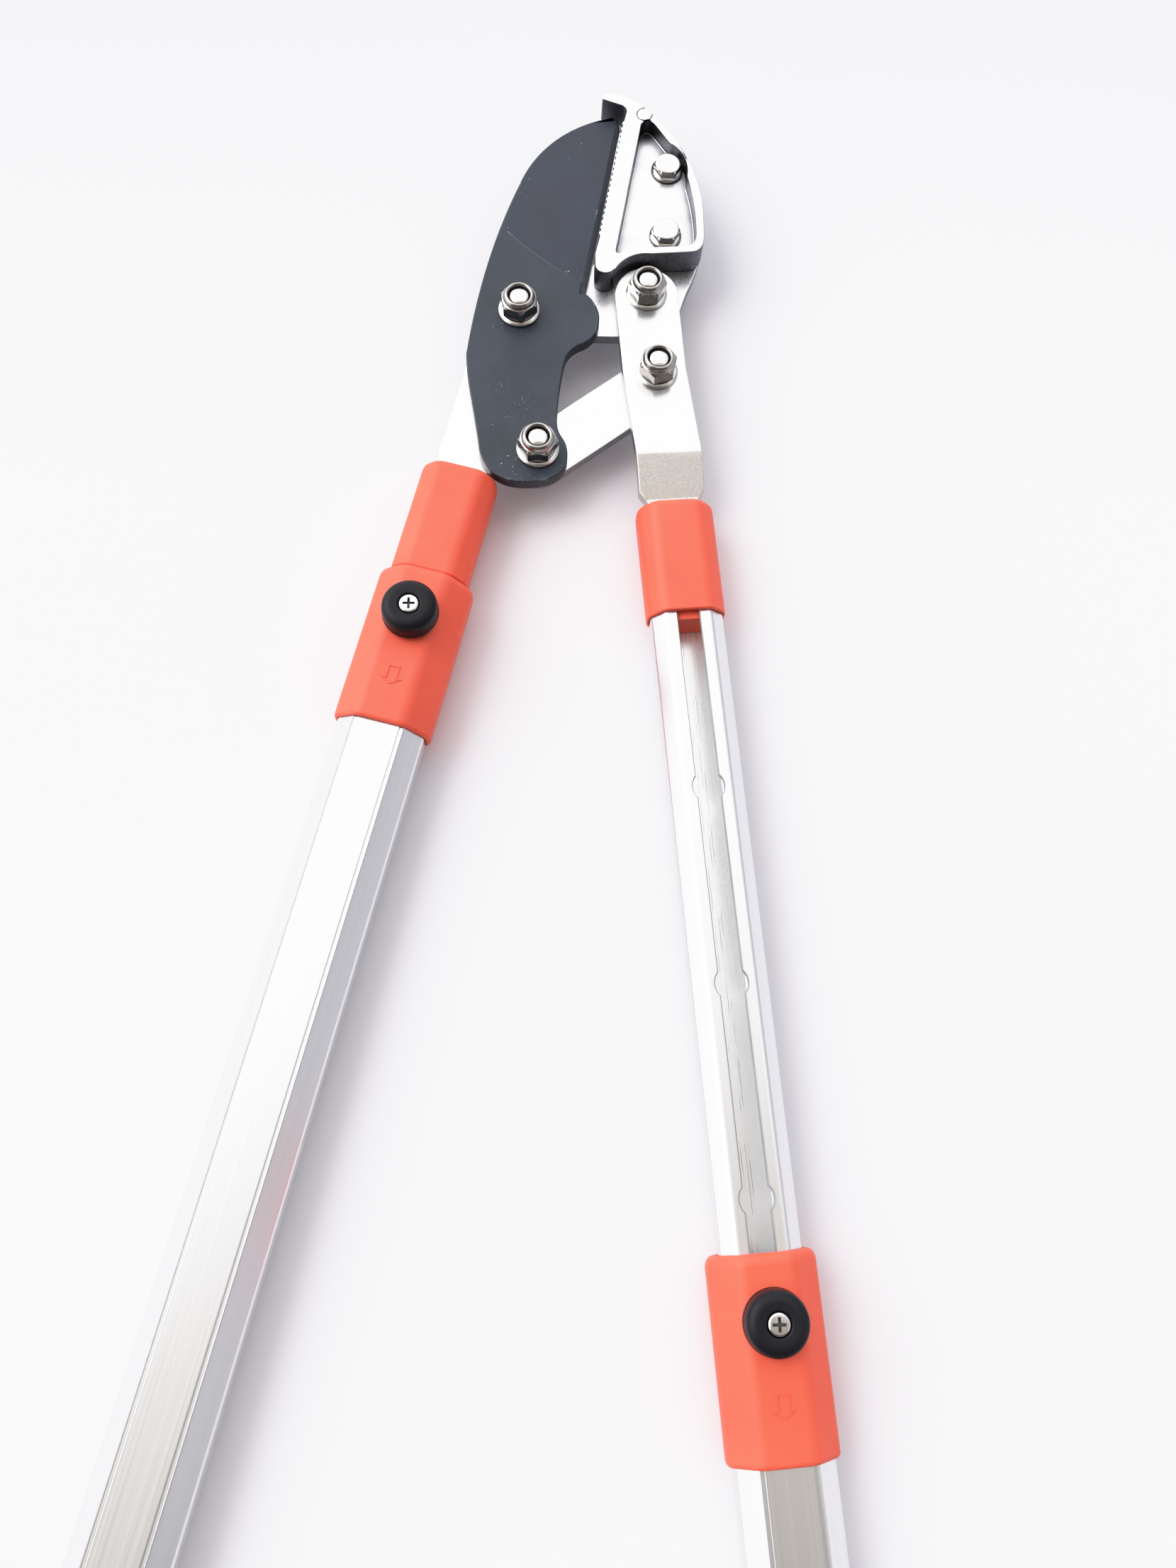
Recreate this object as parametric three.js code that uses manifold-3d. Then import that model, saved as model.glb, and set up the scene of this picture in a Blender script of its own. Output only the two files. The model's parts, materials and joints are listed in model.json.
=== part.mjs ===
// Telescopic anvil loppers with a compound-action head.
//
// A pointed blade closes on a serrated anvil. The right handle's lever turns on the body plate and
// pulls the blade's tail through a link. Each handle is an inner tube fixed to the head and an outer
// tube that slides on it, with a spring-loaded locking button in a plastic housing.
//
// Millimetres, +Z up, +Y towards the head. While the head is laid out, the blade pivot is x = y = 0
// and the blade's top face is z = 0. The last lines move the origin to the middle of the base.

import * as THREE from "three";
import { mergeVertices } from "three/addons/utils/BufferGeometryUtils.js";
import Module from "manifold-3d";

const wasm = await Module();
wasm.setup();

// ---------------------------------------------------------------- driving dimensions

const RUNNING_GAP = 0.3;
const BLADE_THICKNESS = 5;
const PLATE_THICKNESS = 4.5;
const PLATE_TOP = -BLADE_THICKNESS - RUNNING_GAP;
const PLATE_BOTTOM = PLATE_TOP - PLATE_THICKNESS;
const HANDLE_AXIS_Z = (PLATE_TOP + PLATE_BOTTOM) / 2;

const BLADE_PIVOT = { x: 0, y: 0 };
const BLADE_LINK_PIVOT = { x: 7, y: -60.6 };
const LEVER_PIVOT = { x: 49.3, y: 8.5 };
const LEVER_LINK_PIVOT = { x: 52.3, y: -26.5 };

const PIVOT_BOLT_RADIUS = 3.9;
const PIVOT_HOLE_RADIUS = 4.3;
const LINK_FREE_HOLE_RADIUS = 5.6;
const PIVOT_BOLT_HEAD_HEIGHT = 5.3;
const PIVOT_BOLT_END = 9.2;
const PIVOT_WASHER = { radius: 8, thickness: 1.5 };
const PIVOT_NUT = { acrossFlats: 13, height: 7.7, crownRadius: 5.8, crownHeight: 1.8 };
const NUT_TURNS = { bladePivot: 38, bladeLink: 0, leverPivot: 0, leverLink: 17 };

const LINK_HALF_WIDTH = 10.8;
const LEVER_HALF_WIDTH = 12.3;
const LEVER_THICKNESS = BLADE_THICKNESS;
const ARM_HALF_WIDTH = 10.7;
const TANG_HALF_WIDTH = 9.5;
const TANG_SHOULDER = 2.5;

const CASTING_TOP = 6;
const CASTING_BOTTOM = PLATE_TOP + RUNNING_GAP;
const CASTING_POCKET_FLOOR = -0.8;
const ANVIL_SLOPE = 0.191;
const ANVIL_FOOT = { x: 30.7, y: 30.3 };
const ANVIL_TEETH = 21;
const ANVIL_TOOTH_RISE = 2.65;
const ANVIL_TOOTH_DEPTH = 0.7;
const ANVIL_BOLTS = { upper: { x: 59.2, y: 67.8 }, lower: { x: 57.5, y: 36.2 } };
const ANVIL_BOLT = { shankRadius: 2.9, flangeRadius: 6.35, acrossFlats: 9.8 };
const ANVIL_BOLT_FLANGE_HEIGHT = 1.3;
const ANVIL_BOLT_HEAD_HEIGHT = 4.4;
const ANVIL_RIVET = { x: 50.2, y: 89.5, radius: 2.7 };
const SMALL_HOLE_CLEARANCE = 0.4;

const BLADE_EDGE_GAP = 1.05;
const BLADE_BEVEL_WIDTH = 2.2;
const BLADE_EDGE_THICKNESS = 0.5;
const BLADE_GRIND_DEPTH = 0.3;

// Handle cross sections: width and depth over all, and the lengths of the flat top and side faces.
const INNER_TUBE = { width: 26.4, depth: 16, flat: 16.4, side: 6 };
const OUTER_TUBE = { width: 31, depth: 20.5, flat: 17.3, side: 6.8 };
const HOUSING = { width: 34.7, depth: 25, flat: 17, side: 7.3 };
const COLLAR = { width: 28.5, depth: 20, flat: 17, side: 8.5 };
const GRIP = { width: 36, depth: 25, flat: 18, side: 7 };
const TUBE_WALL = 1.5;
const SECTION_CORNER = 1.2;

// Along a handle. Inner parts are measured from the collar's top, outer parts from the housing's top.
const COLLAR_LENGTH = 44.5;
const COLLAR_TOP_WALL = 3;
const INNER_TUBE_END = 406;
const TANG_END = 43;
const PLUG_END = 47;
const TANG_RIVETS = [12, 30];
const TANG_RIVET_RADIUS = 2.5;
const SLOT = { start: 41, end: 312.6, width: 8 };
const KEYHOLES = [110.1, 177.6, 245.1, 312.6];
const KEYHOLE_RADIUS = 5.5;
const BUSH = { start: 391, flangeLength: 5 };
const HOUSING_LENGTH = 59.4;
const BUTTON_AT = 19.3;
const OUTER_TUBE_START = 2;
const OUTER_TUBE_END = 497;
const GRIP_START = 335;
const END_CAP_LENGTH = 6;
const END_CAP_PLUG = 17;
const GROOVE = { width: 1.2, depth: 0.5 };
const ARROW_LINE = 0.6;
const ARROW_HEIGHT = 0.3;

// Button, in heights above the handle's axis.
const BUTTON_HOLE_RADIUS = 8.3;
const KNOB = { radius: 10, base: 14.2, roof: 18.9, top: 21.9, boreRadius: 7.9 };
const PIN = { neckRadius: 3.4, collarRadius: 5.2, collarTop: 6.2, collarBottom: 3.2 };
const SCREW = { headRadius: 3.4, headHeight: 1.5, shankRadius: 1.7, shankEnd: 10.5 };
const SPRING = { radius: 7, wire: 0.5, turns: 3 };

// Each handle: where its axis crosses y = 0, its lean from the Y axis, how far down it the collar
// starts, and how far its outer tube is pulled out.
const HANDLES = {
  left: { x: -3.6, lean: -14.6, collarAt: 70, extension: 0 },
  right: { x: 51.65, lean: 4.05, collarAt: 81.3, extension: 216.1 },
};

const ROUND_SEGMENTS = 24;
const OVERCUT = 1;
const SLIVER = 0.01;

// ---------------------------------------------------------------- materials

function material(name, color, roughness, metalness) {
  return new THREE.MeshStandardMaterial({ name, color, roughness, metalness });
}

const STEEL = material("plated_steel", 0xdcdce0, 0.35, 0.9);
const CASTING = material("die_casting", 0xd6d7dc, 0.45, 0.85);
const BLADE_COAT = material("coated_blade", 0x343a45, 0.5, 0.3);
const NUT_STEEL = material("bright_fasteners", 0xb9b7b4, 0.22, 1);
const TUBE_METAL = material("tube_metal", 0xe6e6ea, 0.3, 0.85);
const ORANGE = material("orange_plastic", 0xf2583a, 0.45, 0);
const BLACK = material("black_plastic", 0x16181c, 0.4, 0);
const RUBBER = material("grip_rubber", 0x1c1d20, 0.75, 0);
const SPRING_STEEL = material("spring_steel", 0x9a9ca2, 0.3, 1);

// ---------------------------------------------------------------- solids

function solidOf(geometry) {
  const bare = geometry.clone();
  bare.deleteAttribute("normal");
  bare.deleteAttribute("uv");
  const welded = mergeVertices(bare, 1e-3);
  const corners = welded.index.array;
  const kept = [];
  for (let i = 0; i < corners.length; i += 3) {
    const [a, b, c] = [corners[i], corners[i + 1], corners[i + 2]];
    if (a !== b && b !== c && c !== a) kept.push(a, b, c);
  }
  const mesh = new wasm.Mesh({
    numProp: 3,
    vertProperties: new Float32Array(welded.attributes.position.array),
    triVerts: new Uint32Array(kept),
  });
  return new wasm.Manifold(mesh);
}

function geometryOf(solid) {
  const mesh = solid.simplify(SLIVER).getMesh();
  const geometry = new THREE.BufferGeometry();
  geometry.setAttribute("position", new THREE.BufferAttribute(new Float32Array(mesh.vertProperties), 3));
  geometry.setIndex(Array.from(mesh.triVerts));
  geometry.computeVertexNormals();
  return geometry;
}

function joined(first, ...others) {
  return others.reduce((whole, other) => whole.add(other), first);
}

function cut(solid, ...tools) {
  return tools.reduce((rest, tool) => rest.subtract(tool), solid);
}

function part(name, solid, look) {
  const mesh = new THREE.Mesh(geometryOf(solid), look);
  mesh.name = name;
  return mesh;
}

function slab(shape, low, high, curveSegments = 12) {
  const options = { depth: high - low, bevelEnabled: false, curveSegments };
  return solidOf(new THREE.ExtrudeGeometry(shape, options).translate(0, 0, low));
}

function disc(centre, radius, low, high, segments = ROUND_SEGMENTS) {
  const geometry = new THREE.CylinderGeometry(radius, radius, high - low, segments);
  return solidOf(geometry.rotateX(Math.PI / 2).translate(centre.x, centre.y, (low + high) / 2));
}

function box(low, high) {
  const size = high.map((value, axis) => value - low[axis]);
  const middle = high.map((value, axis) => (value + low[axis]) / 2);
  return solidOf(new THREE.BoxGeometry(...size).translate(...middle));
}

function turned(profile, centre, segments = ROUND_SEGMENTS) {
  const points = profile.map(([radius, height]) => new THREE.Vector2(radius, height));
  const geometry = new THREE.LatheGeometry(points, segments).rotateX(Math.PI / 2);
  return solidOf(geometry.translate(centre.x, centre.y, 0));
}

function hexagon(centre, acrossFlats, turn = 0) {
  const radius = acrossFlats / Math.sqrt(3);
  const shape = new THREE.Shape();
  for (let corner = 0; corner < 6; corner += 1) {
    const angle = THREE.MathUtils.degToRad(60 * corner + turn);
    const x = centre.x + radius * Math.cos(angle);
    const y = centre.y + radius * Math.sin(angle);
    if (corner === 0) shape.moveTo(x, y);
    else shape.lineTo(x, y);
  }
  return shape;
}

// An eight-sided section with softened corners, as points across (x) and up (y).
function ring({ width, depth, flat, side }, corner = SECTION_CORNER) {
  const quarter = [[flat, -depth], [width, -side], [width, side], [flat, depth]];
  const outline = [...quarter, ...quarter.map(([x, y]) => [-x, -y])];
  const corners = outline.map(([x, y]) => new THREE.Vector2(x / 2, y / 2));
  return corners.flatMap((point, index) => {
    const before = corners.at(index - 1).clone().sub(point).setLength(corner).add(point);
    const after = corners[(index + 1) % corners.length].clone().sub(point).setLength(corner).add(point);
    const middle = before.clone().add(after).multiplyScalar(0.25).addScaledVector(point, 0.5);
    return [before, middle, after];
  });
}

// The same section moved inwards by a wall thickness, or outwards by a negative one.
function inset(section, wall) {
  const shorter = 2 * wall * Math.tan(Math.PI / 8);
  return {
    width: section.width - 2 * wall,
    depth: section.depth - 2 * wall,
    flat: section.flat - shorter,
    side: section.side - shorter,
  };
}

// A bar along -Y through sections given at distances from the start.
function loft(stations) {
  const rings = stations.map(([at, section]) => ({ at, points: ring(section) }));
  const count = rings[0].points.length;
  const positions = rings.flatMap(({ at, points }) => points.flatMap((point) => [point.x, -at, point.y]));
  const faces = [];
  for (let station = 0; station + 1 < rings.length; station += 1) {
    for (let i = 0; i < count; i += 1) {
      const near = [station * count + i, station * count + ((i + 1) % count)];
      const far = near.map((index) => index + count);
      faces.push(near[0], near[1], far[1], near[0], far[1], far[0]);
    }
  }
  const last = (rings.length - 1) * count;
  for (let i = 1; i + 1 < count; i += 1) {
    faces.push(0, i + 1, i, last, last + i, last + i + 1);
  }
  const geometry = new THREE.BufferGeometry();
  geometry.setAttribute("position", new THREE.Float32BufferAttribute(positions, 3));
  geometry.setIndex(faces);
  return solidOf(geometry);
}

function bar(section, start, end) {
  return loft([[start, section], [end, section]]);
}

// ---------------------------------------------------------------- head outlines

function anvilX(y) {
  return ANVIL_FOOT.x + (y - ANVIL_FOOT.y) * ANVIL_SLOPE;
}

// A point beside a handle's axis: distance to the right of it and distance down it.
function handlePoint({ x, lean }, across, down) {
  const angle = THREE.MathUtils.degToRad(lean);
  return {
    x: x + across * Math.cos(angle) + down * Math.sin(angle),
    y: across * Math.sin(angle) - down * Math.cos(angle),
  };
}

// The rounded outside of the jaw, drawn upwards from the foot of its right side to the hook.
function drawJawBack(shape) {
  shape.lineTo(72.2, 42);
  shape.bezierCurveTo(71.5, 71, 53, 98, 37.2, 99.8);
}

function castingOutline() {
  const shape = new THREE.Shape();
  shape.moveTo(29.3, 17.2);
  shape.absarc(33.2, 17.2, 3.9, Math.PI, -0.57, false);
  shape.absarc(LEVER_PIVOT.x, LEVER_PIVOT.y, 14, 2.67, 1.45, true);
  shape.lineTo(66.5, 23.6);
  shape.quadraticCurveTo(71.6, 24.2, 72, 31);
  drawJawBack(shape);
  shape.quadraticCurveTo(33.8, 99.9, 33.4, 98);
  shape.lineTo(33.4, 96.7);
  shape.lineTo(41.2, 93.8);
  shape.quadraticCurveTo(43.7, 92.7, 42.9, 90.2);
  const top = ANVIL_FOOT.y + ANVIL_TEETH * ANVIL_TOOTH_RISE;
  for (let tooth = 0; tooth < ANVIL_TEETH; tooth += 1) {
    const valley = top - tooth * ANVIL_TOOTH_RISE;
    const peak = valley - ANVIL_TOOTH_RISE / 2;
    shape.lineTo(anvilX(valley) + ANVIL_TOOTH_DEPTH, valley);
    shape.lineTo(anvilX(peak), peak);
  }
  shape.lineTo(anvilX(ANVIL_FOOT.y) + ANVIL_TOOTH_DEPTH, ANVIL_FOOT.y);
  shape.lineTo(29.3, 22);
  return shape;
}

function castingPocket() {
  const shape = new THREE.Shape();
  shape.moveTo(37.4, 24);
  shape.quadraticCurveTo(37.2, 22.2, 39, 22.6);
  shape.quadraticCurveTo(40.4, 25, 46, 25.2);
  shape.lineTo(64.5, 26.4);
  shape.quadraticCurveTo(68.9, 27, 69, 33);
  shape.quadraticCurveTo(69.3, 45, 66.9, 57.5);
  shape.quadraticCurveTo(66.2, 59.5, 66.7, 62);
  shape.quadraticCurveTo(67, 71.5, 59.9, 75.8);
  shape.lineTo(54.2, 84.8);
  shape.quadraticCurveTo(51.1, 88.6, 48.7, 84.4);
  return shape;
}

function plateOutline() {
  const left = HANDLES.left;
  const shape = new THREE.Shape();
  const arm = (across, down) => {
    const point = handlePoint(left, across, down);
    return [point.x, point.y];
  };
  const tangEnd = left.collarAt + TANG_END;
  const shoulder = left.collarAt - TANG_SHOULDER;
  shape.moveTo(...arm(-TANG_HALF_WIDTH, tangEnd));
  shape.lineTo(...arm(TANG_HALF_WIDTH, tangEnd));
  shape.lineTo(...arm(TANG_HALF_WIDTH, shoulder));
  shape.lineTo(...arm(ARM_HALF_WIDTH, shoulder - 3));
  shape.lineTo(...arm(ARM_HALF_WIDTH, 38));
  shape.quadraticCurveTo(3.5, -9, 18, -7.3);
  shape.lineTo(49, -7.3);
  shape.quadraticCurveTo(60, -6.5, 62, 1.5);
  shape.quadraticCurveTo(63.3, 8, 66.7, 16);
  shape.quadraticCurveTo(71.5, 27, 72, 33);
  drawJawBack(shape);
  shape.lineTo(43.5, 92);
  shape.lineTo(29.6, 26.8);
  shape.quadraticCurveTo(20, 15.5, 0, 15.5);
  shape.quadraticCurveTo(-13, 15.5, -15, 0);
  shape.quadraticCurveTo(-16, -12, ...arm(-ARM_HALF_WIDTH, 24));
  shape.lineTo(...arm(-ARM_HALF_WIDTH, shoulder - 3));
  shape.lineTo(...arm(-TANG_HALF_WIDTH, shoulder));
  return shape;
}

function bladeOutline() {
  const edgeX = (y) => anvilX(y) - BLADE_EDGE_GAP;
  const shape = new THREE.Shape();
  shape.moveTo(-20, -19.4);
  shape.bezierCurveTo(-19.9, -31, -16.2, -46, -14.7, -60.6);
  shape.quadraticCurveTo(-11.8, -74, 1.5, -74.2);
  shape.quadraticCurveTo(18.4, -74.4, 18.1, -61.7);
  shape.bezierCurveTo(17.8, -54.5, 14.3, -55.6, 14.2, -47.8);
  shape.quadraticCurveTo(14.8, -34, 17.2, -23);
  shape.quadraticCurveTo(18.1, -17.6, 23.2, -14.9);
  shape.quadraticCurveTo(30.9, -11.6, 30.9, -2.2);
  shape.quadraticCurveTo(30.7, 3.6, edgeX(8.8), 8.8);
  shape.lineTo(edgeX(88), 88);
  shape.quadraticCurveTo(40.6, 92.6, 37.2, 93.5);
  shape.bezierCurveTo(15, 88, 4.2, 71.5, 0, 59.4);
  shape.quadraticCurveTo(-14.4, 24, -20, -19.4);
  return shape;
}

// The ground part of the blade's face, from a curved shoulder up to the tip.
function bladeGround() {
  const shape = new THREE.Shape();
  shape.moveTo(-4.3, 36.8);
  shape.quadraticCurveTo(5, 25.7, 30, 9);
  shape.lineTo(60, 9);
  shape.lineTo(60, 91.5);
  shape.lineTo(37.9, 91.5);
  shape.bezierCurveTo(16.4, 85.3, 6.6, 70, 2.6, 58.3);
  shape.quadraticCurveTo(-1.6, 48, -4.3, 36.8);
  return shape;
}

// ---------------------------------------------------------------- head parts

// A wedge that thins one side of the blade towards its cutting edge. side is 1 above, -1 below.
function bevelTool(side) {
  const bottom = new THREE.Vector3(anvilX(8) - BLADE_EDGE_GAP, 8, 0);
  const tip = new THREE.Vector3(anvilX(100) - BLADE_EDGE_GAP, 100, 0);
  const down = bottom.clone().sub(tip);
  const up = new THREE.Vector3(0, 0, side);
  const outwards = up.clone().cross(down).normalize();
  const fall = (BLADE_THICKNESS - BLADE_EDGE_THICKNESS) / 2;
  const wedge = new THREE.Shape();
  wedge.moveTo(-BLADE_BEVEL_WIDTH, 0);
  wedge.lineTo(BLADE_BEVEL_WIDTH, -2 * fall);
  wedge.lineTo(BLADE_BEVEL_WIDTH, fall);
  wedge.lineTo(-BLADE_BEVEL_WIDTH, fall);
  const geometry = new THREE.ExtrudeGeometry(wedge, { depth: down.length(), bevelEnabled: false });
  const turn = new THREE.Matrix4().makeBasis(outwards, up, down.clone().normalize());
  const half = BLADE_THICKNESS / 2;
  geometry.applyMatrix4(turn).translate(tip.x, tip.y, side * half - half);
  return solidOf(geometry);
}

function blade() {
  return cut(
    slab(bladeOutline(), -BLADE_THICKNESS, 0, 14),
    slab(bladeGround(), -BLADE_GRIND_DEPTH, OVERCUT, 8),
    bevelTool(1),
    bevelTool(-1),
    disc(BLADE_PIVOT, PIVOT_HOLE_RADIUS, -BLADE_THICKNESS - OVERCUT, OVERCUT),
    disc(BLADE_LINK_PIVOT, PIVOT_HOLE_RADIUS, -BLADE_THICKNESS - OVERCUT, OVERCUT),
  );
}

function bodyPlate() {
  const low = PLATE_BOTTOM - OVERCUT;
  const high = PLATE_TOP + OVERCUT;
  const small = ANVIL_BOLT.shankRadius + SMALL_HOLE_CLEARANCE;
  const rivets = TANG_RIVETS.map((at) => handlePoint(HANDLES.left, 0, HANDLES.left.collarAt + at));
  return cut(
    slab(plateOutline(), PLATE_BOTTOM, PLATE_TOP, 10),
    disc(BLADE_PIVOT, PIVOT_HOLE_RADIUS, low, high),
    disc(LEVER_PIVOT, PIVOT_HOLE_RADIUS, low, high),
    disc(ANVIL_BOLTS.upper, small, low, high, 16),
    disc(ANVIL_BOLTS.lower, small, low, high, 16),
    disc(ANVIL_RIVET, ANVIL_RIVET.radius + SMALL_HOLE_CLEARANCE, low, high, 16),
    ...rivets.map((centre) => disc(centre, TANG_RIVET_RADIUS + SMALL_HOLE_CLEARANCE, low, high, 16)),
  );
}

function anvilCasting() {
  const low = CASTING_BOTTOM - OVERCUT;
  const high = CASTING_TOP + OVERCUT;
  const small = ANVIL_BOLT.shankRadius + SMALL_HOLE_CLEARANCE;
  return cut(
    slab(castingOutline(), CASTING_BOTTOM, CASTING_TOP),
    slab(castingPocket(), CASTING_POCKET_FLOOR, high, 8),
    disc(ANVIL_BOLTS.upper, small, low, high, 16),
    disc(ANVIL_BOLTS.lower, small, low, high, 16),
    disc(ANVIL_RIVET, ANVIL_RIVET.radius + SMALL_HOLE_CLEARANCE, low, high, 16),
  );
}

function anvilBolt(centre) {
  const seat = CASTING_POCKET_FLOOR + RUNNING_GAP;
  const flangeTop = seat + ANVIL_BOLT_FLANGE_HEIGHT;
  const inside = flangeTop - OVERCUT / 2;
  return joined(
    disc(centre, ANVIL_BOLT.shankRadius, PLATE_BOTTOM, inside, 16),
    disc(centre, ANVIL_BOLT.flangeRadius, seat, flangeTop),
    slab(hexagon(centre, ANVIL_BOLT.acrossFlats), inside, seat + ANVIL_BOLT_HEAD_HEIGHT),
  );
}

function link() {
  const low = PLATE_BOTTOM - OVERCUT;
  const high = PLATE_TOP + OVERCUT;
  const along = Math.atan2(
    LEVER_LINK_PIVOT.y - BLADE_LINK_PIVOT.y,
    LEVER_LINK_PIVOT.x - BLADE_LINK_PIVOT.x,
  );
  const quarter = Math.PI / 2;
  const shape = new THREE.Shape();
  const { x: leverX, y: leverY } = LEVER_LINK_PIVOT;
  const { x: bladeX, y: bladeY } = BLADE_LINK_PIVOT;
  shape.absarc(leverX, leverY, LINK_HALF_WIDTH, along - quarter, along + quarter, false);
  shape.absarc(bladeX, bladeY, LINK_HALF_WIDTH, along + quarter, along + 3 * quarter, false);
  return cut(
    slab(shape, PLATE_BOTTOM, PLATE_TOP),
    disc(LEVER_LINK_PIVOT, PIVOT_HOLE_RADIUS, low, high),
    disc(BLADE_LINK_PIVOT, LINK_FREE_HOLE_RADIUS, low, high),
  );
}

// The lever's plan: a round head about its pivot, a strip, and a narrower tang inside the tube.
function leverOutline() {
  const right = HANDLES.right;
  const shape = new THREE.Shape();
  const at = (across, down) => {
    const point = handlePoint(right, across, down);
    return [point.x, point.y];
  };
  const end = right.collarAt + TANG_END;
  const shoulder = right.collarAt - TANG_SHOULDER;
  const { x, y } = LEVER_PIVOT;
  shape.absarc(x, y, LEVER_HALF_WIDTH, 0, Math.PI, false);
  shape.lineTo(39.3, -26);
  shape.lineTo(...at(-LEVER_HALF_WIDTH, 62));
  shape.lineTo(...at(-LEVER_HALF_WIDTH, shoulder - 4));
  shape.lineTo(...at(-TANG_HALF_WIDTH, shoulder));
  shape.lineTo(...at(-TANG_HALF_WIDTH, end));
  shape.lineTo(...at(TANG_HALF_WIDTH, end));
  shape.lineTo(...at(TANG_HALF_WIDTH, shoulder));
  shape.lineTo(...at(LEVER_HALF_WIDTH, shoulder - 4));
  shape.lineTo(...at(LEVER_HALF_WIDTH, 62));
  shape.lineTo(63.5, -24);
  return shape;
}

// The lever's side view: flat at the blade's level, then a joggle down to the handle's axis.
function leverSide() {
  const bendStart = 61;
  const bendEnd = 78;
  const drop = HANDLE_AXIS_Z + LEVER_THICKNESS / 2;
  const top = [[-60, 0], [bendStart, 0], [bendEnd, drop], [200, drop]];
  const bottom = top.map(([along, height]) => [along, height - LEVER_THICKNESS]).reverse();
  return new THREE.Shape([...top, ...bottom].map(([along, height]) => new THREE.Vector2(along, height)));
}

function lever() {
  const right = HANDLES.right;
  const halfSpan = 40;
  const lean = THREE.MathUtils.degToRad(right.lean);
  const side = new THREE.ExtrudeGeometry(leverSide(), { depth: 2 * halfSpan, bevelEnabled: false });
  side.translate(0, 0, -halfSpan);
  side.applyMatrix4(new THREE.Matrix4().makeBasis(
    new THREE.Vector3(Math.sin(lean), -Math.cos(lean), 0),
    new THREE.Vector3(0, 0, 1),
    new THREE.Vector3(-Math.cos(lean), -Math.sin(lean), 0),
  ));
  side.translate(right.x, 0, 0);
  const rivets = TANG_RIVETS.map((at) => handlePoint(right, 0, right.collarAt + at));
  const low = PLATE_BOTTOM - 2 * OVERCUT;
  return cut(
    slab(leverOutline(), low, OVERCUT).intersect(solidOf(side)),
    disc(LEVER_PIVOT, PIVOT_HOLE_RADIUS, low, 2 * OVERCUT),
    disc(LEVER_LINK_PIVOT, PIVOT_HOLE_RADIUS, low, 2 * OVERCUT),
    ...rivets.map((centre) => disc(centre, TANG_RIVET_RADIUS + SMALL_HOLE_CLEARANCE, low, OVERCUT, 16)),
  );
}

function pivotBolt(centre) {
  const seat = PLATE_BOTTOM - RUNNING_GAP;
  return joined(
    slab(hexagon(centre, PIVOT_NUT.acrossFlats), seat - PIVOT_BOLT_HEAD_HEIGHT, seat),
    disc(centre, PIVOT_BOLT_RADIUS, seat - OVERCUT, PIVOT_BOLT_END),
  );
}

function pivotWasher(centre) {
  const low = RUNNING_GAP;
  const high = low + PIVOT_WASHER.thickness;
  return cut(
    disc(centre, PIVOT_WASHER.radius, low, high),
    disc(centre, PIVOT_HOLE_RADIUS, low - OVERCUT, high + OVERCUT),
  );
}

function pivotNut(centre, turn) {
  const low = 2 * RUNNING_GAP + PIVOT_WASHER.thickness;
  const high = low + PIVOT_NUT.height;
  const shoulder = high - PIVOT_NUT.crownHeight;
  return cut(
    joined(
      slab(hexagon(centre, PIVOT_NUT.acrossFlats, turn), low, shoulder),
      disc(centre, PIVOT_NUT.crownRadius, shoulder - OVERCUT, high),
    ),
    disc(centre, PIVOT_HOLE_RADIUS, low - OVERCUT, high + OVERCUT),
  );
}

function pivotFasteners(name, centre, turn) {
  return [
    part(`${name}_bolt`, pivotBolt(centre), NUT_STEEL),
    part(`${name}_washer`, pivotWasher(centre), NUT_STEEL),
    part(`${name}_nut`, pivotNut(centre, turn), NUT_STEEL),
  ];
}

// ---------------------------------------------------------------- handle parts, fixed to the head

function innerTube() {
  const start = COLLAR_TOP_WALL + RUNNING_GAP;
  const wallLow = INNER_TUBE.depth / 2 - TUBE_WALL - OVERCUT;
  const wallHigh = INNER_TUBE.depth / 2 + OVERCUT;
  const half = SLOT.width / 2;
  const rivetRadius = TANG_RIVET_RADIUS + SMALL_HOLE_CLEARANCE;
  return cut(
    bar(INNER_TUBE, start, INNER_TUBE_END),
    bar(inset(INNER_TUBE, TUBE_WALL), start - OVERCUT, INNER_TUBE_END + OVERCUT),
    box([-half, -SLOT.end, wallLow], [half, -SLOT.start, wallHigh]),
    ...KEYHOLES.map((at) => disc({ x: 0, y: -at }, KEYHOLE_RADIUS, wallLow, wallHigh)),
    ...TANG_RIVETS.map((at) => disc({ x: 0, y: -at }, rivetRadius, -wallHigh, wallHigh, 16)),
  );
}

function collar() {
  const shrink = (dw, dd) => ({
    ...COLLAR, width: COLLAR.width - dw, depth: COLLAR.depth - dd, side: COLLAR.side - dd * 0.4,
  });
  const tangHalf = TANG_HALF_WIDTH + RUNNING_GAP;
  const slotHalf = LEVER_THICKNESS / 2 + RUNNING_GAP;
  return cut(
    loft([
      [0, { ...shrink(5.5, 6), flat: 14 }], [2.5, shrink(1.5, 1.5)],
      [6, shrink(0.3, 0.3)], [COLLAR_LENGTH, COLLAR],
    ]),
    bar(inset(INNER_TUBE, -RUNNING_GAP), COLLAR_TOP_WALL, COLLAR_LENGTH + OVERCUT),
    box([-tangHalf, -COLLAR_TOP_WALL - OVERCUT, -slotHalf], [tangHalf, OVERCUT, slotHalf]),
  );
}

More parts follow.
